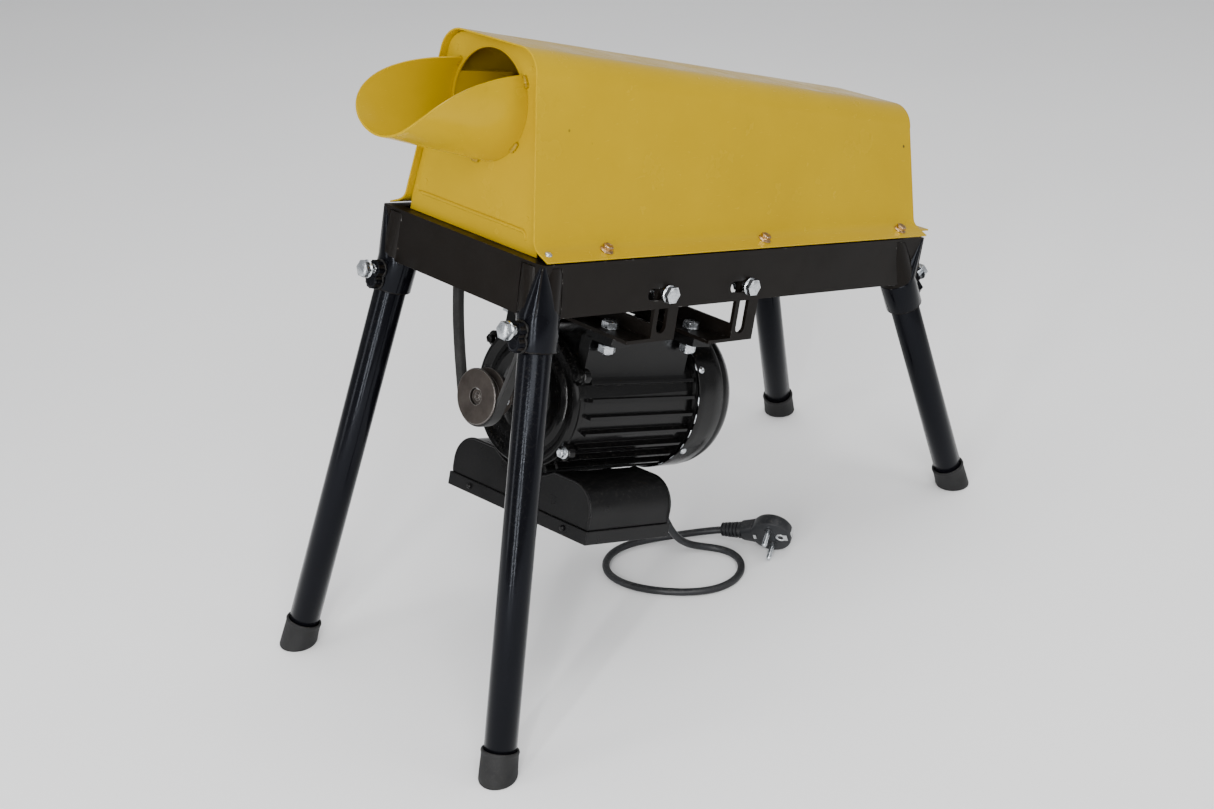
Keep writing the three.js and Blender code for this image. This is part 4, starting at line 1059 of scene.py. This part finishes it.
def box_outline():
    """The end plate's edge, from the lid up one side, over both shoulders and the saddle, and down."""
    side = [(BOX_HALF_WIDTH, BOX_BOTTOM), (BOX_HALF_WIDTH, BOX_TOP - BOX_CORNER)]
    for i in range(11):
        p = polar(0, BOX_CORNER, math.pi / 2 * i / 10)
        side.append((BOX_HALF_WIDTH - BOX_CORNER + p.y, BOX_TOP - BOX_CORNER + p.z))
    lowest = math.asin(-BOX_TOP / BOX_SADDLE)
    dip = [math.pi / 2 + (lowest - math.pi / 2) * (1 - i / 10) for i in range(11)]
    arch = [(BOX_SADDLE * math.cos(a), -BOX_SADDLE * math.sin(a)) for a in dip]
    return side + arch[:-1] + [(-y, z) for y, z in reversed(side + arch)]


def build_box():
    refine("capacitor_box", BOX, "box_paint", 1.0)
    for name, x in (("front", 68.4), ("rear", 165.6)):
        edge = resample([(x, y, z) for y, z in box_outline()], 2)
        weld(f"box_rim_{name}", edge, 1.1, "motor_carriage", "box_paint", 10, 0, BOX)
    refine("capacitor_box_lid", BOX, "box_paint", 0.7)
    refine("run_capacitor", BOX, "aluminium", 0.8)
    refine("start_capacitor", BOX, "fan_plastic", 0.8)
    for i, y in enumerate((-60, 60)):
        pan_screw(f"lid_end_screw_{i}", BOX, (66, y, -99.5), (-1, 0, 0), 2.6, "box_paint")
    build_cord_relief()


def build_cord_relief():
    """A moulded strain relief: a flange, five tapering ribs and a plain nose."""
    end = CORD_EXIT.x
    profile = [(end + 0.3, 4.1), (end + 0.3, 8.1), (end + 0.9, 8.5), (end + 4.4, 8.5), (end + 5, 8)]
    for i in range(5):
        x = end + 6 + i * 3.4
        r = 6.9 - i * 0.36
        profile += [(x - 0.4, r - 1.3), (x + 0.4, r - 1.3)]
        profile += [(x + 0.7, r), (x + 2.2, r - 0.1), (x + 2.5, r - 1.4)]
    profile += [(end + 24, 5.1), (end + 24, 4.1)]
    relief = revolve(bmesh.new(), profile, 48, Matrix.Translation((0, CORD_EXIT.y, CORD_EXIT.z)))
    make("cord_relief_piece", relief, BOX, "motor_carriage", "cord_plastic", 0.15, 30, "cord_relief")


# ---- Cord and plug ----

CORD_ROUTE = [
    (-0.051, -0.022, 0.101), (-0.039, -0.022, 0.086), (-0.031, -0.021, 0.067), (-0.023, -0.020, 0.046),
    (-0.012, -0.018, 0.028), (0.002, -0.017, 0.014), (0.017, -0.020, 0.006), (0.030, -0.031, 0.0039),
    (0.035, -0.046, 0.0038), (0.031, -0.062, 0.0038), (0.020, -0.075, 0.0038), (0.004, -0.083, 0.0038),
    (-0.014, -0.084, 0.0038), (-0.031, -0.077, 0.0038), (-0.047, -0.063, 0.0038), (-0.061, -0.044, 0.0038),
    (-0.073, -0.022, 0.0038), (-0.077, 0, 0.0038), (-0.071, 0.020, 0.0038), (-0.056, 0.034, 0.0038),
    (-0.036, 0.039, 0.0038), (-0.015, 0.034, 0.0038), (0.004, 0.022, 0.004), (0.022, 0.005, 0.0075),
]
EASING_ROUNDS = 90
PLUG_CENTRE = Vector((60, -72, 18.7))
PLUG_TURN = rotated(-64, "Z", 3) @ rotated(-7.5, "Y", 3) @ rotated(20, "X", 3)
PLUG_SPACE = FLOOR @ Matrix.Translation(PLUG_CENTRE * MM) @ PLUG_TURN.to_4x4()
PLUG_RADIUS = 19.5
PLUG_NECK_DEPTH = 7.5
PIN_OFFSET, PIN_LENGTH, PIN_RADIUS = 9.5, 19, 2.4
FACE_OUT = rotated(-90, "Z")


def cord_points():
    """The route's points in the floor's frame, from the relief's nose to inside the plug's neck."""
    to_floor = FLOOR.inverted() @ BOX
    start = [(to_floor @ ((CORD_EXIT + Vector((x, 0, 0))) * MM)) / MM for x in (1, 13, 25)]
    neck = [Vector((-PLUG_RADIUS - x, PLUG_NECK_DEPTH, 0)) for x in (34, 22, 10.6)]
    return start + [Vector(p) / MM for p in CORD_ROUTE] + [PLUG_CENTRE + PLUG_TURN @ p for p in neck]


def smooth_line(points, per_span=8):
    """A centripetal Catmull-Rom line through the points."""
    padded = [points[0] * 2 - points[1], *points, points[-1] * 2 - points[-2]]
    line = []
    for p0, p1, p2, p3 in zip(padded, padded[1:], padded[2:], padded[3:]):
        t0 = 0
        t1 = t0 + (p1 - p0).length ** 0.5
        t2 = t1 + (p2 - p1).length ** 0.5
        t3 = t2 + (p3 - p2).length ** 0.5
        for k in range(per_span):
            t = t1 + (t2 - t1) * k / per_span
            a1 = p0.lerp(p1, (t - t0) / (t1 - t0))
            a2 = p1.lerp(p2, (t - t1) / (t2 - t1))
            a3 = p2.lerp(p3, (t - t2) / (t3 - t2))
            b1 = a1.lerp(a2, (t - t0) / (t2 - t0))
            b2 = a2.lerp(a3, (t - t1) / (t3 - t1))
            line.append(b1.lerp(b2, (t - t1) / (t2 - t1)))
    return [*line, points[-1]]


def relax(line, rounds):
    """Eases the tightest bends of a line, with its ends held."""
    for _ in range(rounds):
        middle = [(a + b * 2 + c) / 4 for a, b, c in zip(line[1:], line[2:-2], line[3:])]
        line = line[:2] + middle + line[-2:]
    return line


def build_cord():
    """The cord as a round curve, with the point where it leaves the relief and its length."""
    world = [FLOOR @ (p * MM) for p in relax(smooth_line(cord_points()), EASING_ROUNDS)]
    curve = bpy.data.curves.new("cord", "CURVE")
    curve.dimensions = "3D"
    spline = curve.splines.new("POLY")
    spline.points.add(len(world) - 1)
    for point, place in zip(spline.points, world):
        point.co = (*place, 1)
    curve.bevel_depth = CORD_DIAMETER / 2 * MM
    curve.bevel_resolution = 8
    curve.use_fill_caps = True
    curve.materials.append(MATERIALS["cord_plastic"])
    cord = bpy.data.objects.new("cord", curve)
    bpy.context.scene.collection.objects.link(cord)
    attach(cord, "motor_carriage")
    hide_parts("power_cord")
    return cord, world[0], sum((b - a).length for a, b in zip(world, world[1:]))


def build_plug():
    """A side-entry earthed plug, with its X axis along the cord and its face towards -Y."""
    parts = (build_plug_body, build_plug_pins, build_pin_collars, build_earth_contacts, build_plug_relief)
    return [build_part() for build_part in parts]


def make_on_plug(name, bm, material, bevel, sharp, replaces=None):
    return make(name, bm, PLUG_SPACE, "motor_carriage", material, bevel, sharp, replaces)


def build_plug_body():
    """A round body with a shallow recess in its face, and the neck that runs to the relief."""
    r = PLUG_RADIUS
    back = [(-15, 0), (-15, r - 6), (-14.6, r - 4), (-13, r - 1.2), (-11.4, r - 0.3), (-9, r)]
    face = [(-1.4, r), (-0.4, r - 0.5), (0, r - 1.4), (0, 7.4), (-0.4, 7.0), (-0.4, 0)]
    body = revolve(bmesh.new(), back + face, 96, FACE_OUT)
    neck = [(-r - 10, 8, 7.2), (-r - 8, 9, 7.4), (-r - 2, 10.5, 7.5), (-8, 14.5, 7.6), (4, 16, 7.6)]
    loft(body, [neck_ring(*station) for station in neck])
    return make_on_plug("plug_body", body, "cord_plastic", 0.25, 32, "mains_plug")


def neck_ring(x, wide, thick):
    """A rounded rectangle across the cord's way."""
    ring = []
    for p in circle(x, 1, 32):
        y = PLUG_NECK_DEPTH + thick * math.copysign(abs(p.y) ** 0.55, p.y)
        ring.append((x, y, wide * math.copysign(abs(p.z) ** 0.55, p.z)))
    return ring


def at_pin(side):
    return Matrix.Translation((0, 0, side * PIN_OFFSET)) @ FACE_OUT


def build_plug_pins():
    pins = bmesh.new()
    tip = PIN_LENGTH
    profile = [(-1, 0), (-1, PIN_RADIUS), (tip - 2, PIN_RADIUS), (tip - 0.6, 1.9), (tip, 0.9), (tip, 0)]
    for side in (1, -1):
        revolve(pins, profile, 32, at_pin(side))
    return make_on_plug("plug_pins", pins, "zinc", 0, 40)


def build_pin_collars():
    collars = bmesh.new()
    for side in (1, -1):
        revolve(collars, [(-0.5, 2.5), (-0.5, 3.6), (0.5, 3.6), (0.9, 3.2), (0.9, 2.5)], 32, at_pin(side))
    return make_on_plug("plug_pin_collars", collars, "cord_plastic", 0.1, 40)


def build_earth_contacts():
    """The bushed hole in the face for an earth pin, two face contacts and a clip in the rim."""
    hole = Matrix.Translation((9.8, 0, 0)) @ FACE_OUT
    bushing = [(-0.5, 2.6), (-0.5, 4.6), (0.35, 4.6), (0.6, 4.0), (0.6, 2.9), (0.2, 2.6)]
    earth = revolve(bmesh.new(), bushing, 32, hole)
    slab(earth, (-0.55, 0.4), 3.6, 12.8, 16.4)
    slab(earth, (-0.55, 0.4), 2.6, -16.8, -14.2)
    slab(earth, (3, 11), 2.8, PLUG_RADIUS - 1.5, PLUG_RADIUS + 0.2)
    return make_on_plug("plug_earth_contacts", earth, "aluminium", 0.2, 32)


def build_plug_relief():
    """Five ribs that taper towards the cord."""
    root = -PLUG_RADIUS - 10.3
    profile = [(root, 4.2), (root, 8.0)]
    for i in range(5):
        x = root - 0.9 - i * 3.6
        r = 8.0 - i * 0.28
        profile += [(x, r), (x - 1.7, r - 0.1), (x - 1.9, r - 1.9), (x - 3.2, r - 1.9), (x - 3.4, r - 0.2)]
    end = -PLUG_RADIUS - 30
    profile += [(end, 6.4), (end, 4.2)]
    relief = revolve(bmesh.new(), profile, 56, Matrix.Translation((0, PLUG_NECK_DEPTH, 0)))
    return make_on_plug("plug_relief_piece", relief, "cord_plastic", 0.15, 30, "plug_relief")


# ---- Floor, backdrop and light ----

FLOOR_HALF, FLOOR_Z = 6, -0.0002
WORLD_COLOR, WORLD_STRENGTH = (0.97, 0.98, 1, 1), 0.46
LIGHT_TARGET = Vector((0, 0, 0.28))
# Each light's place and size in metres, and its power in watts.
SOFTBOXES = {
    "key": ((-1.3, -1.7, 1.9), (1.4, 1.4), 44),
    "top": ((0.3, 0.2, 2.2), (2.2, 1.6), 36),
    "side": ((0.9, -2.0, 1.0), (0.7, 1.6), 10),
    "strip": ((-1.9, 0.7, 0.8), (0.35, 1.5), 8),
    "leg_strip_left": ((-1.9, -0.75, 0.7), (0.08, 1.3), 16),
    "leg_strip_right": ((-1.75, -1.25, 0.7), (0.08, 1.3), 16),
}


def floor_material():
    s = Shader("pale_floor")
    tone = s.mix(s.steps(s.noise(2, 3), 0.3, 0.7), (0.90, 0.90, 0.905), (0.93, 0.93, 0.93))
    return s.finish(tone, s.steps(s.noise(6, 3), 0.3, 0.7, 0.8, 0.9), level=0.15)


def build_floor():
    corners = [(-1, -1), (1, -1), (1, 1), (-1, 1)]
    mesh = bpy.data.meshes.new("floor")
    mesh.from_pydata([(x * FLOOR_HALF, y * FLOOR_HALF, FLOOR_Z) for x, y in corners], [], [(0, 1, 2, 3)])
    mesh.materials.append(floor_material())
    floor = bpy.data.objects.new("floor", mesh)
    bpy.context.scene.collection.objects.link(floor)


def build_light():
    world = bpy.data.worlds.new("studio")
    world.use_nodes = True
    background = world.node_tree.nodes["Background"].inputs
    background["Color"].default_value = WORLD_COLOR
    background["Strength"].default_value = WORLD_STRENGTH
    bpy.context.scene.world = world
    for name, (place, size, power) in SOFTBOXES.items():
        build_softbox(name, place, size, power)


def build_softbox(name, place, size, power):
    """A rectangular light in watts that faces the machine's middle."""
    data = bpy.data.lights.new(name, "AREA")
    data.shape = "RECTANGLE"
    data.size, data.size_y = size
    data.energy = power
    light = bpy.data.objects.new(name, data)
    light.location = place
    light.rotation_mode = "QUATERNION"
    light.rotation_quaternion = (LIGHT_TARGET - Vector(place)).to_track_quat("-Z", "Y")
    bpy.context.scene.collection.objects.link(light)


# ---- Build ----

cord, cord_exit, cord_length = build_cord()
plug_pieces = build_plug()
build_hood()
build_end_plates()
build_scoop()
build_trough()
build_tray()
build_legs()
build_drum()
build_pulleys()
build_belt()
build_motor()
build_brackets()
build_box()
build_floor()
build_light()
